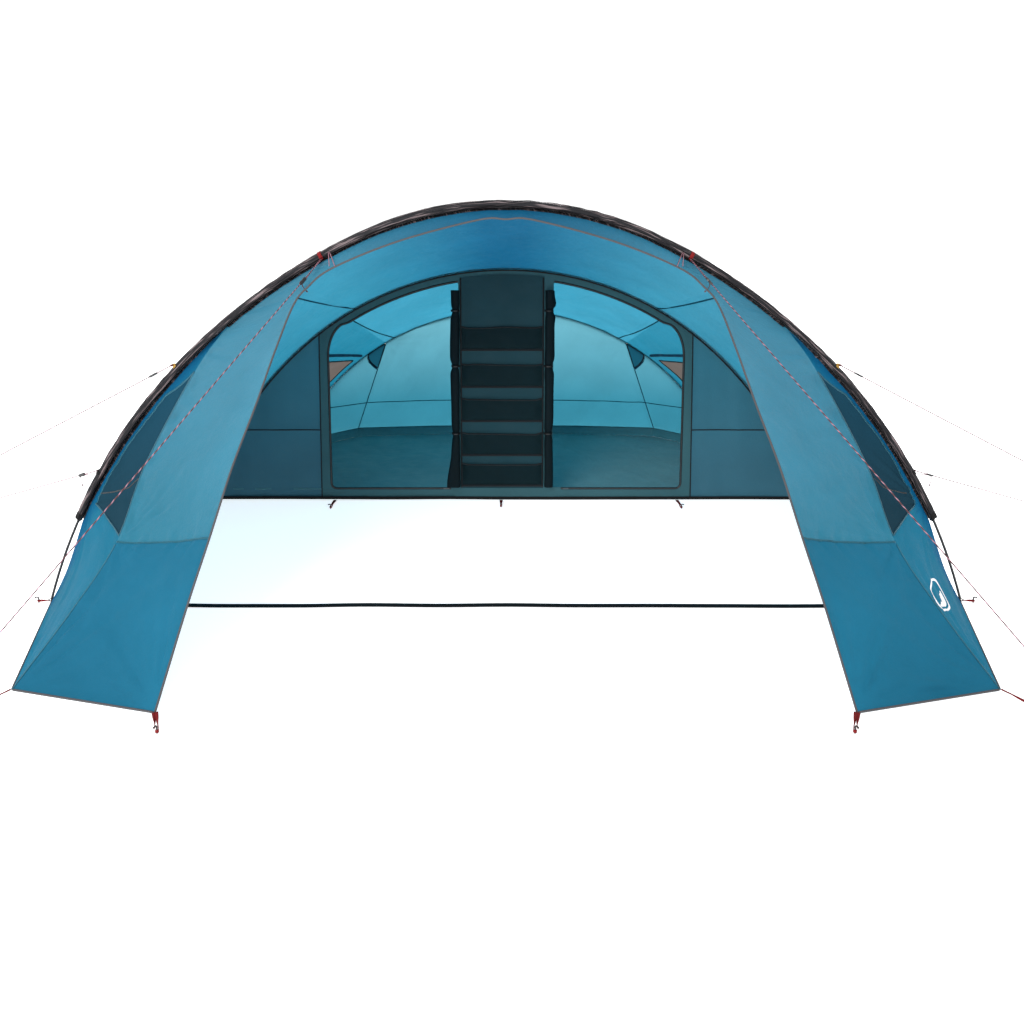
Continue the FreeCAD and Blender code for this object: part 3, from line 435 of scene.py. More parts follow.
class Maker:
    """Collects grids and rods, and makes one mesh object of them."""

    def __init__(self):
        self.points, self.faces, self.uv, self.slots, self.count = [], [], [], [], 0

    def add(self, points, faces, uv, slot=0):
        self.points.append(np.asarray(points, float).reshape(-1, 3))
        self.uv.append(np.asarray(uv, float).reshape(-1, 2))
        self.faces += [[i + self.count for i in face] for face in faces]
        self.slots += list(slot) if hasattr(slot, "__len__") else [slot] * len(faces)
        self.count += len(self.points[-1])
        return self

    def grid(self, grid, kept=None, wrap=False, caps=False, slot=0):
        """A grid of quads. kept says which cells stay; wrap closes its columns into a tube."""
        rows, columns = grid.shape[:2]
        uv = np.stack([run_along(grid, 1), run_along(grid, 0)], 2)
        number = np.arange(rows * columns).reshape(rows, columns)
        following = np.roll(number, -1, 1) if wrap else number[:, 1:]
        here = number if wrap else number[:, :-1]
        cells = np.stack([here[:-1], following[:-1], following[1:], here[1:]], -1)
        if kept is not None:
            cells = cells[kept]
            slot = slot[kept] if hasattr(slot, "shape") else slot
        elif hasattr(slot, "shape"):
            slot = slot.ravel()
        faces = cells.reshape(-1, 4).tolist()
        if caps:
            faces += [number[0][::-1].tolist(), number[-1].tolist()]
        return self.add(grid, faces, uv, slot)

    def rod(self, line, section, up=(0, 0, 1), caps=True, slot=0):
        """A closed section carried along a line."""
        return self.grid(sweep(line, section, up), wrap=True, caps=caps, slot=slot)

    def build(self, name, *materials):
        points, uv = np.concatenate(self.points), np.concatenate(self.uv)
        loops = np.fromiter(itertools.chain.from_iterable(self.faces), int)
        used, loops = np.unique(loops, return_inverse=True)
        ends = np.cumsum([0] + [len(face) for face in self.faces])
        flat = loops.tolist()
        mesh = bpy.data.meshes.new(name)
        mesh.from_pydata(points[used].tolist(), [], [flat[a:b] for a, b in zip(ends, ends[1:])])
        layer = mesh.uv_layers.new(name="UVMap")
        layer.data.foreach_set("uv", uv[used][loops].ravel())
        mesh.polygons.foreach_set("use_smooth", [True] * len(mesh.polygons))
        for material in materials:
            mesh.materials.append(material)
        mesh.polygons.foreach_set("material_index", self.slots)
        obj = bpy.data.objects.new(name, mesh)
        bpy.context.collection.objects.link(obj)
        return obj


def ring(radius, sides=10, squeeze=1.0):
    turn = np.linspace(0, 2 * math.pi, sides, endpoint=False)
    return np.stack([radius * np.cos(turn), radius * squeeze * np.sin(turn)], 1)


def flat_section(width, thickness):
    """Rounded flat section of webbing or tape."""
    w, t = width / 2, thickness / 2
    return np.array([(-w, 0), (-w * 0.93, -t), (0, -t), (w * 0.93, -t), (w, 0), (w * 0.93, t), (0, t),
                     (-w * 0.93, t)])


def sweep(line, section, up):
    """Grid of a section carried along a line; the section's second axis leans towards up."""
    line = np.asarray(line, float)
    along = unit(np.gradient(line, axis=0))
    across = unit(np.cross(along, np.broadcast_to(up, line.shape)))
    lift = np.cross(across, along)
    section = np.broadcast_to(section, (len(line),) + np.shape(section)[-2:])
    return line[:, None] + across[:, None] * section[..., :1] + lift[:, None] * section[..., 1:]


def flipped(points, side):
    return np.asarray(points, float) * np.array([side, 1, 1])


def spiral_roll(name, centre_line, axes, material, turns, core, outer, seed, waist=(), lean=None):
    """Cloth rolled about a line: a spiral sheet with uneven turns, narrower where ties hold it.

    lean is how far its outer turns hang out to one side, for each station of the line.
    """
    turn = np.linspace(0, turns * 2 * math.pi, turns * 22)
    base = core + (outer - core) * turn / turn[-1]
    line = np.asarray(centre_line)
    run = run_along(line[:, None], 0)
    shape = 1 + 0.07 * ripple(turn[None] * 1.1, run / 0.14, seed)
    shape = shape + 0.05 * ripple(turn[None] / 9, run / 0.3, seed + 1)
    for at in waist:
        shape = shape * (1 - 0.16 * np.exp(-((run - at) / 0.03) ** 2))
    shape = np.minimum(shape, 1.10)
    radius = base[None] * shape
    one, two = (np.asarray(a)[None, None] for a in axes)
    east = radius * np.cos(turn)
    if lean is not None:
        hanging = eased(east * np.sign(lean[:, None]) / outer) * (turn[None] / turn[-1]) ** 2
        east = east + lean[:, None] * hanging
    grid = line[:, None] + one * east[..., None] + two * (radius * np.sin(turn))[..., None]
    return Maker().grid(grid).build(name, material)


def finish_piece(obj, replaced=(), body="root"):
    if replaced:
        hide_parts(*replaced)
    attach(obj, body)


# ---- arches -----------------------------------------------------------------------------------------
class Arch:
    """A pole's line: a crown arc and two flank arcs in a plane of constant Y. Angles are in degrees."""

    def __init__(self, name, crown, split, flank, seam):
        low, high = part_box(name + "_pole")
        self.name, self.crown, self.split, self.flank, self.seam = name, crown, split, flank, seam
        self.y = (low.y + high.y) / 2
        self.centre = high.z - POLE_RADIUS - crown
        lever = crown - flank
        self.side_x = lever * math.sin(math.radians(split))
        self.side_z = self.centre + lever * math.cos(math.radians(split))

    def point(self, angle, inset=0.0, forward=0.0):
        angle = np.asarray(angle, float)
        turn, crown = np.radians(angle), np.abs(angle) <= self.split
        reach = np.where(crown, self.crown, self.flank) - inset
        x = np.where(crown, 0, np.sign(angle) * self.side_x) + reach * np.sin(turn)
        z = np.where(crown, self.centre, self.side_z) + reach * np.cos(turn)
        return np.stack([x, np.full_like(x, self.y + forward), z], -1)

    def angle_at(self, height, inset=0.0):
        return np.degrees(np.arccos((height - self.side_z) / (self.flank - inset)))

    def ground(self):
        return self.angle_at(HEM, INSET)

    def skin(self, angle, forward=0.0):
        """Cloth line under the sleeve. Beside the front arch's bare legs the cloth is cut straighter,
        and its corner is held out to the pole's foot.
        """
        angle = np.asarray(angle, float)
        hollow = 0.0
        if self.name == "front":
            start = self.angle_at(SLEEVE_END)
            share = np.clip((np.abs(angle) - start) / (self.ground() - start), 0, 1)
            hollow = 0.014 * np.sin(math.pi * share) - 0.017 * np.clip(2 * share - 1, 0, 1) ** 2
        return self.point(angle, INSET + hollow, forward)


FRONT = Arch("front", 1.661, 24, 2.961, 34.0)
MIDDLE = Arch("middle", 2.124, 38, 2.468, 31.7)
REAR_ARCH = Arch("rear", 2.073, 46, 1.650, 30.2)
ARCHES = (FRONT, MIDDLE, REAR_ARCH)

# ---- opening and guy lines -------------------------------------------------------------------------
OPENING = np.array([(0, -2.862, 1.912), (0.128, -2.864, 1.909), (0.500, -2.880, 1.811),
                    (0.810, -2.900, 1.686), (0.925, -2.930, 1.595), (0.982, -2.970, 1.515),
                    (1.042, -3.090, 1.317), (1.100, -3.212, 1.100), (1.174, -3.350, 0.850),
                    (1.232, -3.500, 0.590), (1.290, -3.637, 0.345), (1.359, -3.832, 0.006)])
FOLD = np.array([(2.010, -3.659, 0.006), (1.862, -3.440, 0.240), (1.735, -3.250, 0.483),
                 (1.688, -3.010, 0.770), (1.492, -2.858, 1.188)])
LAST = len(OPENING) - 1
WHOLE_OPENING = np.vstack([flipped(OPENING[:0:-1], -1), OPENING])
GUYS = {
    # name: angle on the front arch, peg on the right side, length in metres
    "front": (28.5, (2.130, -4.300, 0.014), 2.586),
    "upper": (45.9, (3.945, -2.900, 0.014), 2.6155),
    "lower": (58.8, (3.950, -1.850, 0.014), 2.230),
}
GUY_RADIUS, BAND_RADIUS, CORD_START, PEG_GAP = 0.0025, 0.0235, 0.028, 0.0065
BAND_ENDS = {"front": (-112, 112, 0), "upper": (-62, 62, 1), "lower": (-75, 75, 2)}
GUY_SHARES = (0, 0.03, 0.09, 0.3, 0.5, 0.72, 0.9, 0.97, 1)


def curve_cord(name, points, radius, material):
    """A cord as one smooth curve with these points as its control points."""
    data = bpy.data.curves.new(name, "CURVE")
    data.dimensions = "3D"
    data.bevel_depth, data.bevel_resolution = radius, 3
    data.use_fill_caps = True
    spline = data.splines.new("NURBS")
    spline.points.add(len(points) - 1)
    for control, point in zip(spline.points, points):
        control.co = (*point, 1)
    spline.order_u = 3
    spline.use_endpoint_u = True
    data.resolution_u = 12
    data.materials.append(material)
    obj = bpy.data.objects.new(name, data)
    bpy.context.collection.objects.link(obj)
    return obj


def knot(maker, spot, along, radius, wraps=3, pitch=0.0042):
    """Wraps of cord round itself, as in a tied knot."""
    turn = np.linspace(0, wraps * 2 * math.pi, wraps * 16)
    across = unit(np.cross(along, (0.1, 0.3, 1)))
    third = np.cross(along, across)
    loop = radius * (np.cos(turn)[:, None] * across + np.sin(turn)[:, None] * third)
    line = spot + loop + along * (turn[:, None] / (2 * math.pi) * pitch)
    maker.rod(line, ring(0.0019, 7), along)


def second_strand(name, word, start, along):
    """The doubled part of a guy line, from its loop back to its runner, and the free tail with its knot."""
    runner = "runner_%s_%s" % (name, word)
    low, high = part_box(runner)
    grip = np.array((low + high) / 2)
    under = unit(np.cross(np.cross(along, (0, 0, -1)), along))
    points = [start, start * 0.5 + grip * 0.5 + under * 0.004, grip - along * 0.030 + under * 0.004,
              grip + along * 0.004 + under * 0.005, grip + along * 0.016 + under * 0.012,
              grip + along * 0.020 + under * 0.034, grip + along * 0.017 + under * 0.056]
    line = smooth_line(np.array(points), np.linspace(0, len(points) - 1, 70))
    maker = Maker()
    maker.rod(line, ring(0.0018, 8), (0.1, 0.3, 1))
    knot(maker, line[-1] - np.array(under) * 0.010, under, 0.0026, 2)
    strand = maker.build("guy_strand_%s_%s" % (name, word), GUY)
    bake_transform(strand)
    return strand


def guy_set():
    bands = Maker()
    for name, (angle, peg, length) in GUYS.items():
        for side, word in SIDES:
            anchor = FRONT.point(side * angle)
            outward_turn = math.radians(side * angle)
            arch_out = np.array([math.sin(outward_turn), 0, math.cos(outward_turn)])
            tangent = np.array([math.cos(outward_turn), 0, -math.sin(outward_turn)])
            peg_point = flipped(peg, side)
            pull = peg_point - anchor
            away = unit(pull - tangent * (pull @ tangent))
            begin = anchor + away * CORD_START
            end = peg_point - unit(peg_point - begin) * PEG_GAP
            along = unit(end - begin)
            points = [begin + (end - begin) * share for share in GUY_SHARES]
            cord = curve_cord("guy_line_%s_%s" % (name, word), points, GUY_RADIUS, GUY)
            finish_piece(cord, ["guy_%s_%s" % (name, word)])
            knots = Maker()
            knot(knots, begin + along * 0.004, along, 0.0036)
            knot(knots, end - along * 0.050, along, 0.0038, 4)
            piece = knots.build("guy_knots_%s_%s" % (name, word), GUY)
            finish_piece(piece)
            if name != "upper":
                start = anchor + away * 0.0245 + tangent * side * 0.011
                second_strand(name, word, start, along)
            first, last, slot = BAND_ENDS[name]
            turn = np.radians(np.linspace(first, last, 40))[:, None]
            side_way = np.cross(tangent, arch_out)
            loop = anchor + BAND_RADIUS * (np.cos(turn) * arch_out + np.sin(turn) * side_way)
            bands.rod(loop, flat_section(0.018, 0.0022), loop - anchor, slot=slot)
            tab = np.array([anchor + away * 0.0205 + tangent * 0.004, anchor + away * 0.025 + tangent * 0.004,
                            begin + along * 0.006, begin + along * 0.012,
                            begin + along * 0.006 - tangent * 0.002,
                            anchor + away * 0.025 - tangent * 0.004,
                            anchor + away * 0.0205 - tangent * 0.004])
            tab = smooth_line(tab, np.linspace(0, 6, 40))
            bands.rod(tab, flat_section(0.010, 0.0016), np.cross(away, tangent) + away * 0.01, slot=slot)
    for side in (-1, 1):
        top = FRONT.point(side * 27.6, 0.004, -0.026)
        low = flipped(OPENING[3], side) + np.array([0, -0.003, 0.009])
        for shift in (-1, 1):
            high = top + np.array([shift * 0.003, -0.001, 0])
            foot = low + np.array([shift * 0.013, 0, 0])
            bridle = between(high[None], foot[None], np.linspace(0, 1, 12))[:, 0]
            bands.rod(bridle, ring(0.0024, 8), (0, -1, 0), slot=3)
    obj = bands.build("guy_band_webbing", RED_WEB, AMBER_WEB, BLACK_WEB, GUY)
    finish_piece(obj, ["guy_bands"])


guy_set()


# ---- sleeves ------------------------------------------------------------------------------------------
def sewn_sleeve(arch):
    """Gathered sleeve round a pole, with its two sewn-down edges and a bound cuff at each end."""
    end = arch.angle_at(SLEEVE_END)
    angles = np.linspace(-end, end, int(2 * math.radians(end) * arch.flank / 0.008))
    line = arch.point(angles)
    run = run_along(line[:, None], 0)
    outward = unit(line - arch.point(angles, 0.1))[:, None]
    turn = np.radians(np.linspace(-150, 150, 37))[None]
    slack = 1 - np.abs(ripple(turn * 1.9 + run * 3.4, run / 0.55, 11)) * 2
    crease = 1 - np.abs(ripple(turn * 3.6 - run * 4.2, run / 0.20, 12)) * 2
    radius = 0.0185 + 0.0030 * slack + 0.0024 * crease + 0.0009 * ripple(run / 0.035, turn * 2, 13)
    tube = line[:, None] + outward * (radius * np.cos(turn))[..., None]
    tube[..., 1] += radius * np.sin(turn)
    flaps = []
    for across, inset in ((0.036, 0.0172), (0.024, 0.0165)):
        wavy = 0.0007 * ripple(run / 0.03, across * 50, 14)
        flaps.append(line[:, None] - outward * (inset + wavy)[..., None] + np.array([0, across, 0]))
    mirrored = [flap * np.array([1, -1, 1]) + np.array([0, 2 * arch.y, 0]) for flap in flaps]
    grid = np.concatenate(mirrored + [tube] + flaps[::-1], axis=1)
    maker = Maker().grid(grid)
    for rows in (slice(0, 5), slice(-5, None)):
        ends = tube[rows] - line[rows][:, None]
        maker.grid(line[rows][:, None] + ends * 1.06, slot=1)
    obj = maker.build(arch.name + "_sleeve_cloth", SLEEVE, BLACK_WEB)
    finish_piece(obj, [arch.name + "_sleeve"])


for arch in ARCHES:
    sewn_sleeve(arch)


# ---- roof and sides ---------------------------------------------------------------------------------
def bay_side(ahead, back, side, shares, drops):
    """Grid of a bay's side wall: rows run rearward and columns run down from the seam to the hem."""
    shares = np.asarray(shares)
    drops = np.broadcast_to(drops, (len(shares), np.shape(drops)[-1]))
    near, far = [arch.skin(side * (arch.seam + (arch.ground() - arch.seam) * drops))
                 for arch in (ahead, back)]
    return near * (1 - shares[:, None, None]) + far * shares[:, None, None]


def window_top(share):
    """Top edge of a side window, as a share of the side's drop."""
    return 0.345 - 0.163 * np.asarray(share)


WINDOW_SPAN, WINDOW_FOOT = (0.15, 0.86), 0.62


def seam_strip(maker, line, width=0.012, thickness=0.004, up=None):
    away = np.asarray(line) - INSIDE if up is None else up
    maker.rod(line, flat_section(width, thickness), away)


SEAMS = Maker()
FELLS = Maker()
EDGE_TAPES = Maker()


def block_edges(grid, rows, columns):
    """The four sides of a block of a grid, as lines."""
    block = grid[rows[0]:rows[1] + 1, columns[0]:columns[1] + 1]
    return [block[0], block[-1], block[:, 0], block[:, -1]]


def index_of(stations, value):
    return int(np.argmin(np.abs(stations - value)))


def hole_mask(grid, rows, columns):
    kept = np.ones((grid.shape[0] - 1, grid.shape[1] - 1), bool)
    kept[rows[0]:rows[1], columns[0]:columns[1]] = False
    return kept


def bay_seam(roof, side):
    """Seam between a roof and a side; over the sleeping area it swings towards the crown at the rear."""
    edge = roof[:, 0] if side < 0 else roof[:, -1]
    inner = roof[:, 9] if side < 0 else roof[:, -10]
    share = np.linspace(0, 1, len(roof))[:, None] ** 2.2 * 0.75
    return edge * (1 - share) + inner * share


def bay_roof(name, ahead, back):
    porch = name == "porch"
    shares = marks([0, 1], back.y - ahead.y)
    across = marks([-1, 1], 2 * math.radians(back.seam) * back.crown)
    roof = between(ahead.skin(ahead.seam * across), back.skin(back.seam * across), shares)
    run, away = run_along(roof, 1), run_along(roof, 0)
    slack = puckers(run, away, 0.008, 0.12, 0.032, 36)
    if not porch:
        slack = slack + puckers(run, away, 0.022, 0.34, 0.070, 35)
    roof = pulled_cloth(roof, 21 if porch else 31, sag=0.016, folds=0.010 if porch else 0.014, gather=0.005,
                        extra=slack, rim=(0.020, 0.060))
    obj = Maker().grid(roof).build(name + "_roof_cloth", CANOPY if porch else LIT_BED_ROOF)
    finish_piece(obj, [name + "_roof"])
    for side in (-1, 1):
        seam_strip(SEAMS, bay_seam(roof, side), 0.009, 0.004)


def bay_wall(name, ahead, back, side, word):
    bedroom = name == "bedroom"
    shares = marks([0, *WINDOW_SPAN, 1] if bedroom else [0, 1], back.y - ahead.y)
    drops = marks([0, 0.30, WINDOW_FOOT, 1] if bedroom else [0, 1], 1.25 if bedroom else 1.6)
    spread = np.broadcast_to(drops, (len(shares), len(drops)))
    if bedroom:
        spread = np.array([np.interp(drops, [0, 0.30, WINDOW_FOOT, 1], [0, window_top(share), WINDOW_FOOT, 1])
                           for share in shares])
    wall = bay_side(ahead, back, side, shares, spread)
    corners = [(wall[0, -1], 7, 0.008, 0.5), (wall[-1, -1], 7, 0.008, 0.5)]
    slack = puckers(run_along(wall, 0), run_along(wall, 1), 0.006, 0.07, 0.03, 46)
    if bedroom:
        slack = slack + puckers(run_along(wall, 1), run_along(wall, 0), 0.016, 0.30, 0.060, 47)
    wall = pulled_cloth(wall, 41 + side, sag=0.014, folds=0.008, gather=0.005, fans=corners, extra=slack,
                        rim=(0.020, 0.060))
    heights = (wall[:-1, :-1, 2] + wall[1:, 1:, 2]) / 2
    low = (heights < 0.36).astype(int)
    kept = None
    if bedroom:
        rows = [index_of(shares, share) for share in WINDOW_SPAN]
        columns = [index_of(drops, drop) for drop in (0.30, WINDOW_FOOT)]
        kept = hole_mask(wall, rows, columns)
        pane = wall[rows[0]:rows[1] + 1, columns[0]:columns[1] + 1]
        made = Maker().grid(pane).build("side_window_film_" + word, SMOKE_FILM)
        finish_piece(made, ["side_window_" + word])
        for line in block_edges(wall, rows, columns):
            seam_strip(EDGE_TAPES, line, 0.012, 0.005)
    obj = Maker().grid(wall, kept=kept, slot=low).build("%s_side_cloth_%s" % (name, word), FLY, SKIRT)
    finish_piece(obj, ["%s_side_%s" % (name, word)])
    hem = wall[:, -1] + np.array([0, 0, 0.006])
    seam_strip(EDGE_TAPES, hem, 0.014, 0.005, up=hem - hem.mean(0) + np.array([side, 0, 0]))


def porch_and_bedroom():
    for name, ahead, back in (("porch", FRONT, MIDDLE), ("bedroom", MIDDLE, REAR_ARCH)):
        bay_roof(name, ahead, back)
        for side, word in SIDES:
            bay_wall(name, ahead, back, side, word)


porch_and_bedroom()


# ---- porch opening, brow and wings ------------------------------------------------------------------
def opening_line(stations):
    """Edge of the porch opening; station 0 is the crown and 11 the right peg."""
    return smooth_line(WHOLE_OPENING, np.asarray(stations) + LAST)


def fold_line(stations):
    """Fold of the right wing from its outer peg, at 0, to where it meets the arch, at 5."""
    return smooth_line(np.vstack([FOLD, FRONT.skin(40.0, -CUT_BACK)[None]]), stations)


BROW_END = 27.7
WINDOW_LOW, WINDOW_HIGH = 2.08, 4
WINDOW_EDGE = ([0, 2, 2.8, 3.25, 3.7, 3.85, 4, 5], [0.12, 0.12, 0.10, 0.13, 0.22, 0.55, 0.97, 0.97])
SLEEVE_FLAPS = Maker()


def sleeve_flap(edge, inner, width=0.017):
    """Edge of the front sleeve, sewn flat onto the cloth in front of it: both lines start on the arch."""
    way = unit(inner - edge)
    lift = unit(edge - np.array([0, edge[:, 1].mean() + 0.6, 0.4])) * 0.0022
    SLEEVE_FLAPS.grid(between(edge + lift - way * 0.004, edge + lift + way * width, np.linspace(0, 1, 4)))


def brow():
    stations = marks([-3, 3], 2.2, 0.011)
    angles = np.interp(np.abs(stations), [0, 1, 2, 3], [0, 4.5, 17.5, BROW_END]) * np.sign(stations)
    grid = between(FRONT.skin(angles, -CUT_BACK), opening_line(stations), marks([0, 1], 0.10, 0.008))
    grid = pulled_cloth(grid, 61, folds=0.003, gather=0.002)
    sleeve_flap(grid[0], grid[2])
    obj = Maker().grid(grid).build("canopy_brow_cloth", CANOPY)
    finish_piece(obj, ["canopy_brow"])


def wing(side, word):
    rows = marks([0, 1, 2, 3, 4, 5, 8], 2.55, 0.011)
    low = rows[rows <= 5]
    arch_rows = rows[rows > 5]
    angles = np.interp(arch_rows, [5, 6, 7, 8], [40.0, 34.5, 30.0, BROW_END])
    outer = np.vstack([fold_line(low), FRONT.skin(angles, -CUT_BACK)])
    inner = opening_line(LAST - rows)
    face = between(outer, inner, marks([0, 1], 0.72, 0.011)).transpose(1, 0, 2)
    fans = [(outer[0], 9, 0.014, 0.55), (inner[0], 9, 0.012, 0.5),
            (outer[index_of(rows, 2)], 10, 0.008, 0.25)]
    down, across = run_along(face, 0), run_along(face, 1)
    level = index_of(rows, 2)
    beside_window = eased((rows - 1.9) / 0.3) * eased((5.2 - rows) / 0.8)
    slack = puckers(down, across, 0.015, 0.065, 0.032, 75) * beside_window[:, None]
    slack = slack + puckers(down, across, 0.012, 0.16, 0.060, 76) * beside_window[:, None]
    slack = slack + puckers(across, np.abs(down - down[level:level + 1]), 0.007, 0.05, 0.035, 77)
    face = pulled_cloth(flipped(face, side), 71 + side, sag=0.022, folds=0.010, gather=0.004, axis=1,
                        fans=[(flipped(c, side), n, h, r) for c, n, h, r in fans], extra=slack)
    sleeve_flap(face[rows > 5.05, 0], face[rows > 5.05, 2])
    lower = np.repeat((rows[:-1] < 2)[:, None], face.shape[1] - 1, 1).astype(int)
    obj = Maker().grid(face, slot=lower).build("wing_front_cloth_" + word, FLY, SKIRT)
    finish_piece(obj, ["wing_front_" + word])
    seam_strip(FELLS, face[level], 0.009, 0.003)

    heights = [HEM, 0.240, 0.515, 0.770, 1.188]
    leg_angles = [FRONT.angle_at(z, INSET) for z in heights] + [41.6]
    leg_rows = marks([0, 1, 2, WINDOW_LOW, 3, WINDOW_HIGH, 5], 1.62, 0.011)
    leg = FRONT.skin(np.interp(leg_rows, range(6), leg_angles), -CUT_BACK)
    shares = marks([0, 0.12, 0.985, 1], 0.62, 0.011)
    outer_edge = np.interp(leg_rows, *WINDOW_EDGE)
    spread = np.array([np.interp(shares, [0, 0.12, 0.985, 1], [0, edge, 0.985, 1]) for edge in outer_edge])
    flank = leg[:, None] * (1 - spread[..., None]) + fold_line(leg_rows)[:, None] * spread[..., None]
    fans = [(FOLD[0], 8, 0.010, 0.5), (leg[index_of(leg_rows, 2)], 10, 0.008, 0.35)]
    flank = pulled_cloth(flipped(flank, side), 81 + side, sag=0.010, folds=0.005, gather=0.003, axis=1,
                         fans=[(flipped(c, side), n, h, r) for c, n, h, r in fans])
    block = ((index_of(leg_rows, WINDOW_LOW), index_of(leg_rows, WINDOW_HIGH)),
             (index_of(shares, 0.12), index_of(shares, 0.985)))
    kept = hole_mask(flank, *block)
    obj = Maker().grid(flank, kept=kept).build("wing_side_cloth_" + word, SHADED_WING_SIDE)
    finish_piece(obj, ["wing_side_" + word])
    sleeve_flap(flank[leg[:, 2] > SLEEVE_END, 0], flank[leg[:, 2] > SLEEVE_END, 2])
    pane = flank[block[0][0]:block[0][1] + 1, block[1][0]:block[1][1] + 1]
    obj = Maker().grid(pane).build("wing_window_film_" + word, FILM)
    finish_piece(obj, ["wing_window_" + word])
    for line in block_edges(flank, *block):
        seam_strip(FELLS, line, 0.010, 0.003)
    seam_strip(FELLS, flank[:index_of(leg_rows, 2), -1], 0.007, 0.003)
    columns = np.arange(pane.shape[1])
    bow = 0.11 + 0.30 * (columns / columns[-1]) ** 1.2
    hung = pane[np.round(bow * (pane.shape[0] - 1)).astype(int), columns]
    seam_strip(EDGE_TAPES, smooth_line(hung[::6], np.linspace(0, len(hung[::6]) - 1, 60)), 0.006, 0.003)
    return flank, leg_rows, spread


PATCH_CORNERS = np.array([(1.25, 0.71), (1.10, 0.56), (0.78, 0.665), (0.88, 0.845), (1.03, 0.97),
                          (1.20, 0.93)])


def plain_patch(flank, leg_rows, spread):
    """Plain six-sided printed patch low on the right wing's side: a border and a half-filled middle."""
    def on_flank(row, share):
        station = np.interp(row, leg_rows, np.arange(len(leg_rows)))
        low = int(station)
        lines = [[np.interp(share, spread[i], flank[i, :, k]) for k in range(3)] for i in (low, low + 1)]
        return np.array(lines[0]) * (1 - station + low) + np.array(lines[1]) * (station - low)

    corners = np.vstack([PATCH_CORNERS, PATCH_CORNERS[:1]])
    rim = resampled(smooth_line(corners, np.linspace(0, 6, 73)), 0.012)
    middle = PATCH_CORNERS.mean(0)
    sizes = np.array([0.001, 0.2, 0.4, 0.6, 0.72, 0.86, 1.0])
    grid = np.array([[on_flank(*(middle + (spot - middle) * size)) for spot in rim] for size in sizes])
    grid = grid + outward_normals(grid) * 0.0022
    rows = (middle[0] + (rim[:-1, 0] - middle[0]) * sizes[:-1, None])
    filled = (rows < middle[0] - 0.03) & (sizes[:-1, None] < 0.72)
    kept = filled | (sizes[:-1, None] > 0.8)
    finish_piece(Maker().grid(grid, kept=kept).build("plain_patch", PATCH))


brow()
PIPING_LINES = Maker()
PIPING_RADIUS = 0.0045


def edge_piping():
    PIPING_LINES.rod(opening_line(marks([-LAST, LAST], 6.6, 0.012)), ring(PIPING_RADIUS), (0, -1, 0.4))
    for side in (-1, 1):
        corner, inner = flipped(FOLD[0], side), flipped(OPENING[-1], side)
        leg = flipped(FRONT.skin(FRONT.ground(), -CUT_BACK), side)
        for start, end in ((leg, corner), (corner, inner)):
            count = int(np.linalg.norm(end - start) / 0.02)
            line = between(start[None], end[None], np.linspace(0.01, 0.99, count))[:, 0]
            line[:, 2] = HEM + 0.0035
            PIPING_LINES.rod(line, ring(PIPING_RADIUS))
    finish_piece(PIPING_LINES.build("edge_piping_cord", PIPING), ["edge_piping"])


for side, word in SIDES:
    made = wing(side, word)
    if side > 0:
        plain_patch(*made)
edge_piping()
finish_piece(SLEEVE_FLAPS.build("front_sleeve_flap", SLEEVE))


# ---- rear wall and vents ----------------------------------------------------------------------------
REAR_LINE = ((0, 1.105), (0.700, 1.085), (1.400, 0.985))
REAR_FORWARD = 0.006


def rear_ground(share):
    reach = np.abs(share) * REAR_LINE[-1][0]
    y = np.interp(reach, [x for x, _ in REAR_LINE], [y for _, y in REAR_LINE])
    return np.stack([np.sign(share) * reach, y, np.full_like(reach, HEM)], -1)


REAR_SEAM, VENT_INNER, VENT_OUTER = 0.345, 28, 14


def level_line(grid, height):
    """Line across a grid whose columns run down, at one height."""
    found = []
    for column in range(grid.shape[1]):
        points = grid[::-1, column]
        found.append([np.interp(height, points[:, 2], points[:, k]) for k in range(3)])
    return np.array(found)


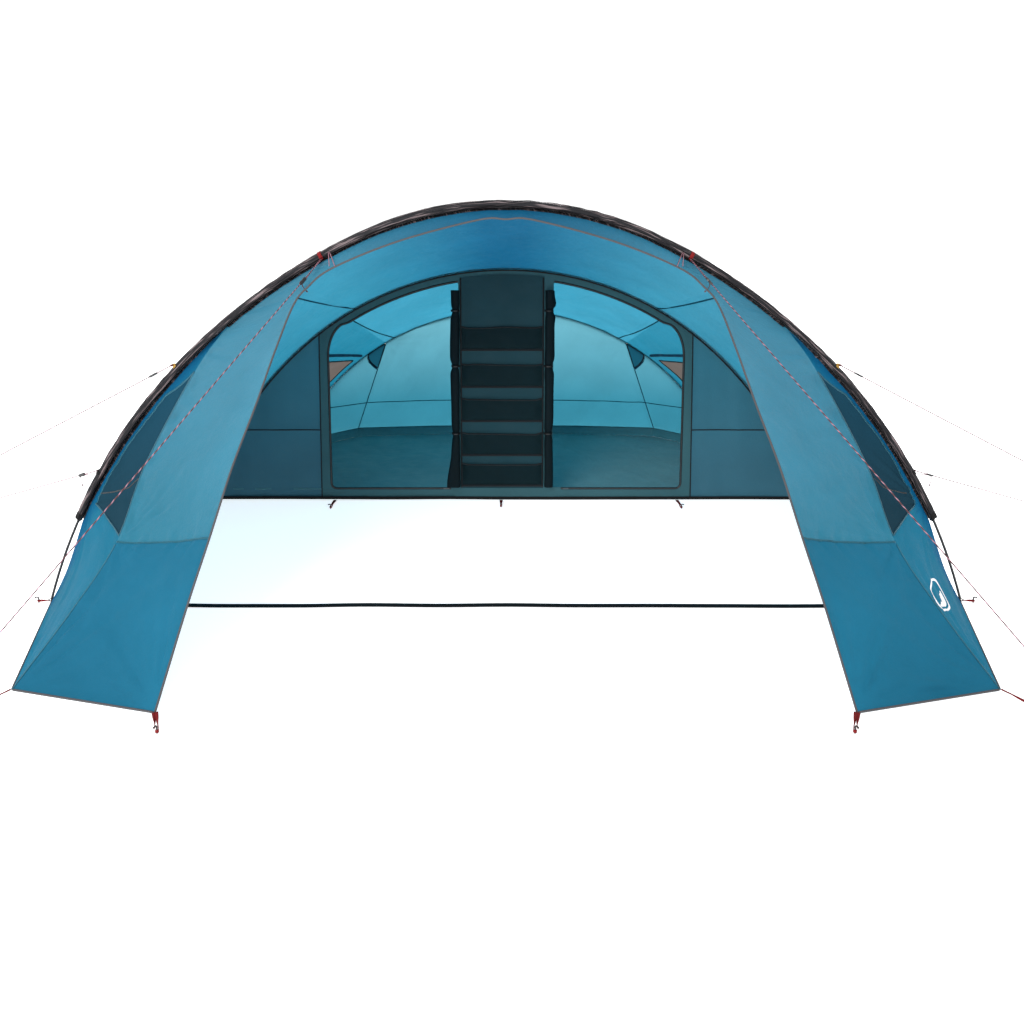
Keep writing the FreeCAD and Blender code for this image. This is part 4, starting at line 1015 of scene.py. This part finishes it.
def rear_wall():
    across = marks([-1, 1], 2.7)
    top = REAR_ARCH.skin(REAR_ARCH.seam * across, REAR_FORWARD)
    grid = between(top, rear_ground(across), marks([0, 1], 1.25))
    corners = [(grid[0, 0], 8, 0.010, 0.5), (grid[0, -1], 8, 0.010, 0.5)]
    pleat = 0.018 * np.exp(-((grid[..., 0] + 0.78) / 0.10) ** 2) * eased((grid[..., 2] - 0.1) / 0.4)
    grid = pulled_cloth(grid, 91, sag=-0.012, folds=0.008, gather=0.003, fans=corners, extra=pleat)
    obj = Maker().grid(grid).build("rear_wall_cloth_centre", REAR)
    finish_piece(obj, ["rear_wall_centre"])
    seam_strip(SEAMS, level_line(grid, REAR_SEAM), 0.007, 0.004)
    mesh = Maker()
    for side, word in SIDES:
        edge_angles = np.linspace(REAR_ARCH.seam, REAR_ARCH.ground(), 110)
        edge = REAR_ARCH.skin(side * edge_angles, REAR_FORWARD)
        start, foot = edge[0], rear_ground(np.array([float(side)]))[0]
        inner = between(start[None], foot[None], np.linspace(0, 1, 110))[:, 0]
        panel = between(inner, edge, np.linspace(0, 1, 44)).transpose(1, 0, 2)
        panel = pulled_cloth(panel, 95 + side, folds=0.004, gather=0.002)
        columns = np.arange(panel.shape[1])
        vent_end = np.round(np.linspace(VENT_INNER, VENT_OUTER, panel.shape[1])).astype(int)
        rows = np.arange(panel.shape[0] - 1)[:, None]
        below = rows >= vent_end[None, :-1]
        obj = Maker().grid(panel, kept=below).build("rear_wall_cloth_" + word, REAR)
        finish_piece(obj, ["rear_wall_" + word])
        mesh.grid(panel, kept=~below & (rows > 0))
        foot_line = panel[vent_end, columns]
        seam_strip(SEAMS, inner, 0.007, 0.004)
        seam_strip(EDGE_TAPES, foot_line[::3], 0.010, 0.004)
        seam_strip(EDGE_TAPES, panel[1:VENT_OUTER, -1], 0.010, 0.004)
        seam_strip(EDGE_TAPES, panel[1:VENT_INNER, 0], 0.010, 0.004)
        seam_strip(SEAMS, level_line(panel, REAR_SEAM), 0.007, 0.004)
        roll_line = resampled(foot_line + np.array([0, -0.012, -0.010]), 0.008)[2:-2]
        flap = spiral_roll("rolled_vent_flap_" + word, roll_line, ((0, 1, 0), (0, 0, 1)), CURTAIN, 3, 0.002,
                           0.010, 97 + side)
        finish_piece(flap)
    finish_piece(mesh.build("corner_vent_netting", NETTING), ["corner_vents"])


rear_wall()
finish_piece(SEAMS.build("fly_seams", SEAM_TAPE))
finish_piece(FELLS.build("wing_seams", FLY))


# ---- inner wall, doors and floor --------------------------------------------------------------------
WALL_INSET, WALL_REACH = 0.033, 0.027
WALL_Y = MIDDLE.y - 0.002
DOOR_INNER, DOOR_OUTER, DOOR_SILL, DOOR_DROP, DOOR_CORNER = 0.325, 1.215, 0.093, 0.056, 0.150
SHOULDER_STRETCH = 1.6


def door_outline(side, grow=0.0):
    """Outline of a doorway in X and Z: sill, outer edge, rounded shoulder and arched top."""
    radius = MIDDLE.crown - WALL_INSET - DOOR_DROP + grow
    inner, outer, sill = DOOR_INNER - grow, DOOR_OUTER + grow, DOOR_SILL - grow
    corner = DOOR_CORNER
    turns = np.linspace(math.asin(inner / radius), math.asin((outer - corner) / radius), 20)
    top = np.stack([radius * np.sin(turns), MIDDLE.centre + radius * np.cos(turns)], 1)
    bends = np.radians(np.linspace(22, 90, 9))
    bend = np.stack([outer - corner * (1 - np.sin(bends)),
                     top[-1, 1] - corner * SHOULDER_STRETCH * (1 - np.cos(bends))], 1)
    foot = 0.028 + grow
    quarter = np.radians(np.linspace(0, 90, 6))
    rounded = np.stack([outer - foot * (1 - np.sin(quarter)), sill + foot * (1 - np.cos(quarter))], 1)
    outline = np.vstack([[(inner, sill)], rounded, bend[::-1], top[::-1]])
    return outline * np.array([side, 1])


def inside(points, outline):
    """True for points within a closed outline."""
    x, z = points[:, 0][:, None], points[:, 1][:, None]
    a, b = outline, np.roll(outline, -1, 0)
    crosses = (a[:, 1] > z) != (b[:, 1] > z)
    slope = (b[:, 0] - a[:, 0]) / np.where(b[:, 1] == a[:, 1], 1e-9, b[:, 1] - a[:, 1])
    return np.sum(crosses & (x < a[:, 0] + slope * (z - a[:, 1])), 1) % 2 == 1


def nearest(points, outline):
    gaps = np.linalg.norm(points[:, None] - outline[None], axis=2)
    return gaps.min(1)


def cut_plate(outline, holes, step):
    """Triangles of a flat plate with holes, fine enough for folds: points in two directions and faces."""
    loops = [resampled(loop, step, closed=True) for loop in [outline, *holes]]
    borders = np.vstack(loops)
    low, high = outline.min(0), outline.max(0)
    x, z = np.meshgrid(np.arange(low[0], high[0], step), np.arange(low[1], high[1], step))
    x[::2] += step / 2
    spots = np.stack([x.ravel(), z.ravel()], 1)
    spots = spots[inside(spots, loops[0])]
    for loop in loops[1:]:
        spots = spots[~inside(spots, loop)]
    spots = spots[nearest(spots, borders) > step * 0.55]
    points = np.vstack([borders, spots])
    edges, start = [], 0
    for loop in loops:
        edges += [(start + i, start + (i + 1) % len(loop)) for i in range(len(loop))]
        start += len(loop)
    found = geometry.delaunay_2d_cdt([Vector(p) for p in points], edges, [], 0, 1e-6)
    points = np.array([tuple(v) for v in found[0]])
    faces = np.array(found[2])
    middle = points[faces].mean(1)
    kept = inside(middle, loops[0])
    for loop in loops[1:]:
        kept &= ~inside(middle, loop)
    return points, faces[kept]


DOORS = {side: door_outline(side) for side in (-1, 1)}


def wall_wave(points):
    """How far the inner wall bows rearward; it is flat along its doorways, where it is sewn to tape."""
    x, z = points[:, 0], points[:, 1]
    edges = np.vstack([resampled(DOORS[side], 0.03, closed=True) for side in (-1, 1)])
    calm = eased((nearest(points, edges) - 0.02) / 0.10) * (np.abs(x) > 0.36)
    billow = 0.010 + 0.008 * ripple(x / 0.5, z / 0.9, 101) + 0.004 * ripple(x / 0.09, z / 0.6, 102)
    return billow * calm + 0.0006 * (ripple(x / 0.05, z / 0.05, 103) + 1)


WALL_SEAM = ([0, 1.2], [1.295, 1.282])


def inner_wall():
    limit = MIDDLE.angle_at(HEM, WALL_INSET)
    arc = MIDDLE.point(np.linspace(-limit, limit, 120), WALL_REACH)[:, [0, 2]]
    points, faces = cut_plate(arc, [DOORS[-1], DOORS[1]], 0.016)
    place = np.stack([points[:, 0], WALL_Y + wall_wave(points), points[:, 1]], 1)
    middle = points[faces].mean(1)
    seam_x = np.interp(middle[:, 1], *WALL_SEAM)
    outside = (np.abs(middle[:, 0]) > seam_x).astype(int)
    maker = Maker().add(place, faces.tolist(), points, outside.tolist())
    obj = maker.build("inner_wall_cloth", INNER, SIDE_INNER)
    finish_piece(obj, ["inner_wall"])
    seams = Maker()
    for side in (-1, 1):
        z = np.linspace(0.02, 1.19, 60)
        line = np.stack([side * np.interp(z, *WALL_SEAM), z * 0, z], 1)
        level = np.stack([side * np.linspace(1.29, 1.95, 40), np.zeros(40), np.full(40, 0.502)], 1)
        for run in (line, level):
            run[:, 1] = WALL_Y - 0.0012 + wall_wave(run[:, [0, 2]])
            seam_strip(seams, run, 0.008, 0.003, up=(0, -1, 0))
    top = MIDDLE.point(np.linspace(-limit, limit, 300), WALL_REACH + 0.004)
    top[:, 1] = WALL_Y + wall_wave(top[:, [0, 2]]) - 0.001
    seam_strip(seams, top, 0.010, 0.004, up=(0, -1, 0))
    finish_piece(seams.build("inner_wall_seams", ZIP_TAPE))
    hem = Maker()
    x = np.linspace(-2.03, 2.03, 300)
    line = np.stack([x, WALL_Y - 0.001 + x * 0, 0.0155 + 0.002 * ripple(x / 0.4, x * 0, 104)], 1)
    hem.rod(line, flat_section(0.022, 0.004), (0, -1, 0))
    finish_piece(hem.build("inner_wall_hem", BLACK_WEB))


inner_wall()

TUB_HEIGHT, TUB_HALF, TUB_REAR_HALF, TUB_REAR = 0.080, 2.055, 1.360, 1.040


def tub_outline(inset):
    half, rear_half = TUB_HALF - inset, TUB_REAR_HALF - inset
    near, far = MIDDLE.y + 0.008 + inset, TUB_REAR - inset
    right = [(half, near), (half - 0.272, REAR_ARCH.y - 0.020), (rear_half, far - 0.105),
             (0.680, far - 0.018)]
    return np.array(right + [(0, far)] + [(-x, y) for x, y in reversed(right)])


def groundsheet():
    points, faces = cut_plate(tub_outline(0.002), [], 0.022)
    edge = nearest(points, resampled(tub_outline(0.002), 0.03, closed=True))
    lift = 0.003 + 0.006 * eased(edge / 0.1) * (1 + ripple(points[:, 0] / 0.22, points[:, 1] / 0.35, 111)) / 2
    lift = lift + 0.0035 * eased(edge / 0.1) * np.abs(ripple(points[:, 0] / 0.09 + points[:, 1] / 0.2,
                                                             points[:, 1] / 0.5, 112))
    floor = np.column_stack([points, lift])
    obj = Maker().add(floor, faces.tolist(), points).build("groundsheet_floor", TUB)
    finish_piece(obj, ["groundsheet"])
    rim = resampled(tub_outline(0.0015), 0.013, closed=True)
    rim = np.vstack([rim, rim[:1]])
    run = run_along(rim[:, None], 0)[:, 0]
    centre = rim.mean(0)
    inward = unit(centre - rim)
    rows = []
    for share in np.linspace(0, 1, 8):
        wave = (0.004 + 0.004 * ripple(run / 0.2, share * 1.5 + run * 0, 113)) * math.sin(math.pi * share)
        flat = rim + inward * wave[:, None]
        height = 0.003 + (TUB_HEIGHT - 0.004) * share
        rows.append(np.column_stack([flat, np.full(len(rim), height)]))
    walls = Maker().grid(np.array(rows))
    top = rows[-1]
    walls.rod(top[:-1], flat_section(0.008, 0.004), np.column_stack([inward, 0 * run])[:-1])
    finish_piece(walls.build("groundsheet_walls", TUB_WALL))


groundsheet()


# ---- zips -------------------------------------------------------------------------------------------
def zips():
    tape, coil = Maker(), Maker()
    for side in (-1, 1):
        path = resampled(door_outline(side, 0.008), 0.004, closed=True)
        start = int(np.argmin(np.linalg.norm(path - np.array([side * 0.385, 0.085]), axis=1)))
        path = np.roll(path, -start, 0)
        end = int(np.argmin(np.linalg.norm(path - np.array([side * 0.330, 1.62]), axis=1)))
        path = path[:end]
        line = np.column_stack([path[:, 0], np.full(len(path), WALL_Y - 0.0008), path[:, 1]])
        tape.rod(line[::3], flat_section(0.015, 0.0012), (0, -1, 0))
        teeth = line - np.array([0, 0.0008, 0])
        run = run_along(teeth[:, None], 0)
        swell = 1 + 0.22 * np.sin(run * 2 * math.pi / 0.008)
        section = flat_section(0.007, 0.0022)[None] * swell[..., None]
        coil.rod(teeth, section, (0, -1, 0))
    finish_piece(tape.build("zip_tape_band", ZIP_TAPE), ["zip_tracks"])
    finish_piece(coil.build("zip_coil", NYLON))


zips()

# ---- organiser and rolled doors -----------------------------------------------------------------------
PANEL_LOW, PANEL_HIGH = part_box("organiser_panel")
POCKET_BOTTOMS = (1.064, 0.806, 0.566, 0.324, 0.105)
POCKET_HEIGHT = 0.165


def organiser():
    x = marks([PANEL_LOW.x, PANEL_HIGH.x], PANEL_HIGH.x - PANEL_LOW.x, 0.009)
    z = marks([PANEL_LOW.z, PANEL_HIGH.z], PANEL_HIGH.z - PANEL_LOW.z, 0.009)
    grid_x, grid_z = np.meshgrid(x, z)
    top = np.minimum(grid_z, MIDDLE.centre + np.sqrt((MIDDLE.crown - 0.058) ** 2 - grid_x ** 2))
    wave = 0.0012 * ripple(grid_x / 0.12, grid_z / 0.2, 121)
    panel = np.stack([grid_x, PANEL_LOW.y - 0.0004 + wave - 0.0012, top], -1)
    obj = Maker().grid(panel).build("organiser_cloth", HEADER)
    finish_piece(obj, ["organiser_panel"])
    pockets, bindings = Maker(), Maker()
    wide = marks([PANEL_LOW.x + 0.006, PANEL_HIGH.x - 0.006], 0.56, 0.007)
    share = np.linspace(0, 1, 24)[:, None]
    side_fade = eased(np.minimum(wide - wide[0], wide[-1] - wide) / 0.05)[None]
    for number, bottom in enumerate(POCKET_BOTTOMS):
        sway = 0.5 + 0.5 * ripple(wide / 0.19, wide * 0 + number * 1.7, 130 + number)
        dip = 0.006 + 0.013 * sway * side_fade[0]
        tall = POCKET_HEIGHT - dip
        height = bottom + 0.002 + tall[None] * share
        fill = 0.75 + 0.35 * ripple(wide / 0.16, number + wide * 0, 140 + number)
        swell = np.sin(share * 2.1 + 0.25) * fill
        crease = 0.0025 * ripple(wide[None] / 0.05, share * 2.2, 150 + number)
        out = 0.0022 + (0.019 * swell + crease) * side_fade * eased(share * 5)
        cloth = np.stack([np.broadcast_to(wide, out.shape), PANEL_LOW.y - 0.001 - out, height], -1)
        pockets.grid(cloth)
        seam_strip(bindings, cloth[-1], 0.010, 0.0035, up=(0, -1, 0))
        seam_strip(bindings, cloth[0] - np.array([0, 0.0008, 0]), 0.016, 0.003, up=(0, -1, 0))
    for x_edge in (PANEL_LOW.x + 0.006, PANEL_HIGH.x - 0.006):
        line = np.stack([np.full(80, x_edge), np.full(80, PANEL_LOW.y - 0.0026),
                         np.linspace(PANEL_LOW.z + 0.004, PANEL_HIGH.z - 0.03, 80)], 1)
        seam_strip(bindings, line, 0.010, 0.003, up=(0, -1, 0))
    finish_piece(pockets.build("organiser_pocket_mesh", POCKET), ["organiser_pockets"])
    finish_piece(bindings.build("organiser_bindings", ZIP_TAPE))


organiser()
TIE_HEIGHTS = (0.480, 0.950, 1.330)


def door_rolls():
    ties = Maker()
    for word in ("left", "right"):
        low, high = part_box("door_roll_" + word)
        x, y = (low.x + high.x) / 2, (low.y + high.y) / 2
        z = np.linspace(low.z, high.z, 130)
        line = np.stack([x + 0.002 * ripple(z / 0.3, z * 0, 160), y + 0 * z, z], 1)
        side = -1 if word == "left" else 1
        loose = 0.010 + 0.006 * ripple(z / 0.16, z * 0, 165 + side)
        if side < 0:
            loose = loose + 0.040 * eased((0.34 - z) / 0.22)
        else:
            loose = loose + 0.024 * np.exp(-((z - high.z + 0.13) / 0.06) ** 2)
        for height in TIE_HEIGHTS:
            loose = loose * (1 - 0.85 * np.exp(-((z - height - 0.008) / 0.035) ** 2))
        roll = spiral_roll("rolled_door_" + word, line, ((1, 0, 0), (0, 1, 0)), DOOR, 8, 0.004, 0.0260,
                           166 + 5 * side, [h - low.z for h in TIE_HEIGHTS], side * loose)
        finish_piece(roll, ["door_roll_" + word])
        for height in TIE_HEIGHTS:
            turn = np.radians(np.linspace(-196, 16, 30))
            band = np.stack([x + 0.0285 * np.cos(turn), y + 0.0285 * np.sin(turn),
                             np.full(30, height + 0.008)], 1)
            ties.rod(band, flat_section(0.016, 0.002), band - np.array([x, y, height + 0.008]))
            toggle = np.linspace(-0.015, 0.015, 13)
            fat = 0.004 * (0.7 + 0.3 * np.cos(toggle / 0.015 * math.pi / 2))
            body = np.stack([x + toggle, np.full(13, y - 0.0345), np.full(13, height + 0.008)], 1)
            ties.rod(body, ring(1.0)[None] * fat[:, None, None], slot=1)
    obj = ties.build("door_tie_loops", BLACK_WEB, NYLON)
    finish_piece(obj, ["door_ties"])


door_rolls()


def curtain_rolls():
    for side, word in SIDES:
        shares = np.linspace(*WINDOW_SPAN, 100)
        drops = window_top(shares)[:, None] - np.array([0.055, 0.03])
        wall = bay_side(MIDDLE, REAR_ARCH, side, shares, drops)
        line = wall[:, 0] - outward_normals(wall)[:, 0] * 0.020
        away = outward_normals(wall)[:, 0].mean(0)
        along = unit(line[-1] - line[0])
        roll = spiral_roll("rolled_curtain_cloth_" + word, line, (away, np.cross(along, away)), CURTAIN, 5,
                           0.004, 0.0125, 181 + side, [0.25, 0.85])
        finish_piece(roll, ["rolled_curtain_" + word])


curtain_rolls()
finish_piece(EDGE_TAPES.build("edge_tapes", ZIP_TAPE))


# ---- strap and peg loops ----------------------------------------------------------------------------
def ground_strap():
    low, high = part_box("ground_strap")
    x = np.linspace(low.x, high.x, 260)
    y = (low.y + high.y) / 2 + 0.004 * ripple(x / 0.7, x * 0, 191)
    lift = 0.0022 + 0.004 * (ripple(x / 0.35, x * 0, 192) + 1)
    strap = Maker().rod(np.stack([x, y, lift], 1), flat_section(0.044, 0.0022))
    finish_piece(strap.build("ground_strap_webbing", BLACK_WEB), ["ground_strap"])


ground_strap()
HEM_PEG_WIDTHS = (0.013, 0.006, 0.007, 0.012, 0.012, 0.012, 0.012, 0.012, 0.012)
HEM_PEGS = ((1.299, -3.962), (2.062, -3.775), (2.362, -2.790), (2.190, -1.072), (1.906, 0.472),
            (1.195, -1.245), (1.440, 1.060))
HEMS = ((1.359, -3.832), (2.010, -3.659), (2.303, -2.786), (2.126, -1.053), (1.850, 0.452),
        (1.195, -1.080), (1.404, 1.000))
CENTRE_LOOPS = (((-0.034, -1.080), (-0.034, -1.214)), ((0, 1.120), (0, 1.180)))


def peg_loops():
    """Two legs of webbing from each hem point, round the peg below its hook."""
    maker = Maker()
    pairs = [(flipped((*hem, 0), side), flipped((*spot, 0), side), width)
             for hem, spot, width in zip(HEMS, HEM_PEGS, HEM_PEG_WIDTHS) for side in (-1, 1)]
    pairs += [(np.array((*hem, 0)), np.array((*spot, 0)), 0.012) for hem, spot in CENTRE_LOOPS]
    for hem, spot, width in pairs:
        away = unit(spot - hem)
        across = np.array([-away[1], away[0], 0])
        reach = np.linalg.norm(spot - hem)
        legs = [(0.004, width * 0.46), (0.45 * reach, width * 0.40), (reach - 0.012, 0.0062),
                (reach + 0.003, 0.0058), (reach + 0.0066, 0)]
        path = [hem + away * a + across * b + np.array([0, 0, 0.010]) for a, b in legs]
        path += [hem + away * a - across * b + np.array([0, 0, 0.010]) for a, b in legs[-2::-1]]
        line = smooth_line(np.array(path), np.linspace(0, len(path) - 1, 60))
        edgewise = unit(np.cross(np.gradient(line, axis=0), (0, 0, 1)))
        near_peg = eased(((line - hem) @ away) / (reach - 0.010))[:, None]
        up = edgewise * near_peg + (1 - near_peg) * np.array([0, 0, 1])
        maker.rod(line, flat_section(width, 0.0018), up)
    finish_piece(maker.build("peg_loop_webbing", RED_WEB), ["peg_loops"])


peg_loops()


# ---- materials of the CAD pieces that stay ------------------------------------------------------------
def give(material, slot_name, *names):
    for name in names:
        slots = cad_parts[name].data.materials
        slots.clear()
        slots.append(material)


give(FIBREGLASS, "pole_fibreglass", "front_pole", "middle_pole", "rear_pole")
give(STEEL, "steel", "pole_ferrules")
give(ELASTIC, "elastic", "pole_shock_cords")
give(PEG_STEEL, "peg_steel", "pegs", "foot_pins_and_rings")
give(ZIP_METAL, "zip_metal", "zip_slider_left", "zip_slider_right", "zip_pull_left", "zip_pull_right")
give(NYLON, "runner_plastic", *["runner_%s_%s" % (name, word) for name in GUYS for _, word in SIDES])


# ---- cut sizes of the cloth ----------------------------------------------------------------------------
# name: width and length of the rectangle it's cut from, area of the cut, how it's held, what holds it.
# The areas are those of the finished meshes. In the second table the names leave out the side.
ONE_OFF_SHEETS = {
    "front_sleeve_cloth": (0.164, 5.80, 0.950, "gathered", ["front_pole"]),
    "middle_sleeve_cloth": (0.162, 5.11, 0.827, "gathered", ["middle_pole"]),
    "rear_sleeve_cloth": (0.161, 4.04, 0.650, "gathered", ["rear_pole"]),
    "front_sleeve_flap": (0.019, 5.33, 0.099, "hung", ["front_sleeve_cloth"]),
    "porch_roof_cloth": (1.76, 2.48, 4.16, "stretched", ["front_pole", "middle_pole"]),
    "bedroom_roof_cloth": (1.52, 2.48, 3.49, "stretched", ["middle_pole", "rear_pole"]),
    "canopy_brow_cloth": (0.13, 1.86, 0.188, "stretched", ["front_pole"]),
    "rear_wall_cloth_centre": (1.37, 2.80, 3.09, "stretched", ["rear_pole"]),
    "corner_vent_netting": (0.24, 0.30, 0.0445, "stretched",
                            ["rear_wall_cloth_left", "rear_wall_cloth_right"]),
    "inner_wall_cloth": (1.62, 4.22, 2.66, "hung", ["middle_pole"]),
    "groundsheet_floor": (2.08, 4.11, 7.41, "laid", []),
    "groundsheet_walls": (0.10, 11.12, 1.108, "hung", ["groundsheet_floor"]),
    "organiser_cloth": (0.575, 1.495, 0.856, "hung", ["inner_wall_cloth"]),
    "organiser_pocket_mesh": (0.56, 0.80, 0.436, "hung", ["organiser_cloth"]),
    "plain_patch": (0.14, 0.22, 0.0138, "laid", ["wing_side_cloth_right"]),
}
PAIRED_SHEETS = {
    "porch_side_cloth": (1.78, 2.00, 3.21, "stretched", ["front_pole", "middle_pole"]),
    "bedroom_side_cloth": (1.55, 1.72, 1.68, "stretched", ["middle_pole", "rear_pole"]),
    "side_window_film": (0.53, 1.09, 0.572, "stretched", ["middle_pole", "rear_pole"]),
    "rolled_curtain_cloth": (0.26, 1.09, 0.280, "folded", ["middle_pole", "rear_pole"]),
    "wing_front_cloth": (0.76, 2.20, 1.116, "stretched", ["front_pole", "pegs"]),
    "wing_side_cloth": (0.93, 1.62, 0.502, "stretched", ["front_pole", "pegs"]),
    "wing_window_film": (0.34, 0.92, 0.187, "stretched", ["front_pole"]),
    "rear_wall_cloth": (0.72, 1.02, 0.420, "stretched", ["rear_pole"]),
    "rolled_vent_flap": (0.10, 0.20, 0.0195, "folded", ["rear_pole"]),
    "rolled_door": (0.79, 1.38, 1.085, "folded", ["inner_wall_cloth"]),
}


def declare_sheets():
    sheets = dict(ONE_OFF_SHEETS)
    for name, cut in PAIRED_SHEETS.items():
        sheets.update({name + "_" + word: cut for _, word in SIDES})


declare_sheets()


# ---- stage and light ----------------------------------------------------------------------------------
FLOOR_HALF, FLOOR_HEIGHT, FLOOR_GLOW, SKY_STRENGTH = 60, -0.0012, 0.75, 1.12
LAMP_AIM = (0, -0.8, 0.6)
# name, place, side length in metres and power in watts
LAMPS = (("key", (-3.2, -9.5, 4.2), 4.0, 640), ("left", (-8, -1.0, 3.0), 4, 60),
         ("right", (8, -0.5, 3.0), 4, 60), ("back", (0.5, 5.5, 6.0), 3.5, 600))


def stage_and_light():
    material, tree = start_material("pale_floor")
    spot = node(tree, "TexCoord").outputs["Object"]
    tone = shades(tree, noise_of(tree, spot, 0.4, 3), (0.88, 0.88, 0.88), (0.92, 0.92, 0.92))
    shader = node(tree, "BsdfPrincipled", {"Base Color": tone, "Roughness": 0.9, "Specular IOR Level": 0.1,
                                           "Emission Color": (1, 1, 1, 1), "Emission Strength": FLOOR_GLOW})
    put_out(tree, shader.outputs["BSDF"])
    corners = np.array([[(x * FLOOR_HALF, y * FLOOR_HALF, FLOOR_HEIGHT) for x in (-1, 1)] for y in (-1, 1)])
    floor = Maker().grid(corners).build("floor", material)
    world = bpy.data.worlds.new("studio")
    bpy.context.scene.world = world
    world.use_nodes = True
    background = world.node_tree.nodes["Background"]
    background.inputs["Color"].default_value = (1, 1, 1, 1)
    background.inputs["Strength"].default_value = SKY_STRENGTH
    for name, place, size, power in LAMPS:
        data = bpy.data.lights.new(name, "AREA")
        data.size, data.energy = size, power
        lamp = bpy.data.objects.new(name, data)
        lamp.location = place
        lamp.rotation_euler = (Vector(LAMP_AIM) - Vector(place)).to_track_quat("-Z", "Y").to_euler()
        bpy.context.collection.objects.link(lamp)
    bpy.context.scene.view_settings.view_transform = "Standard"


stage_and_light()
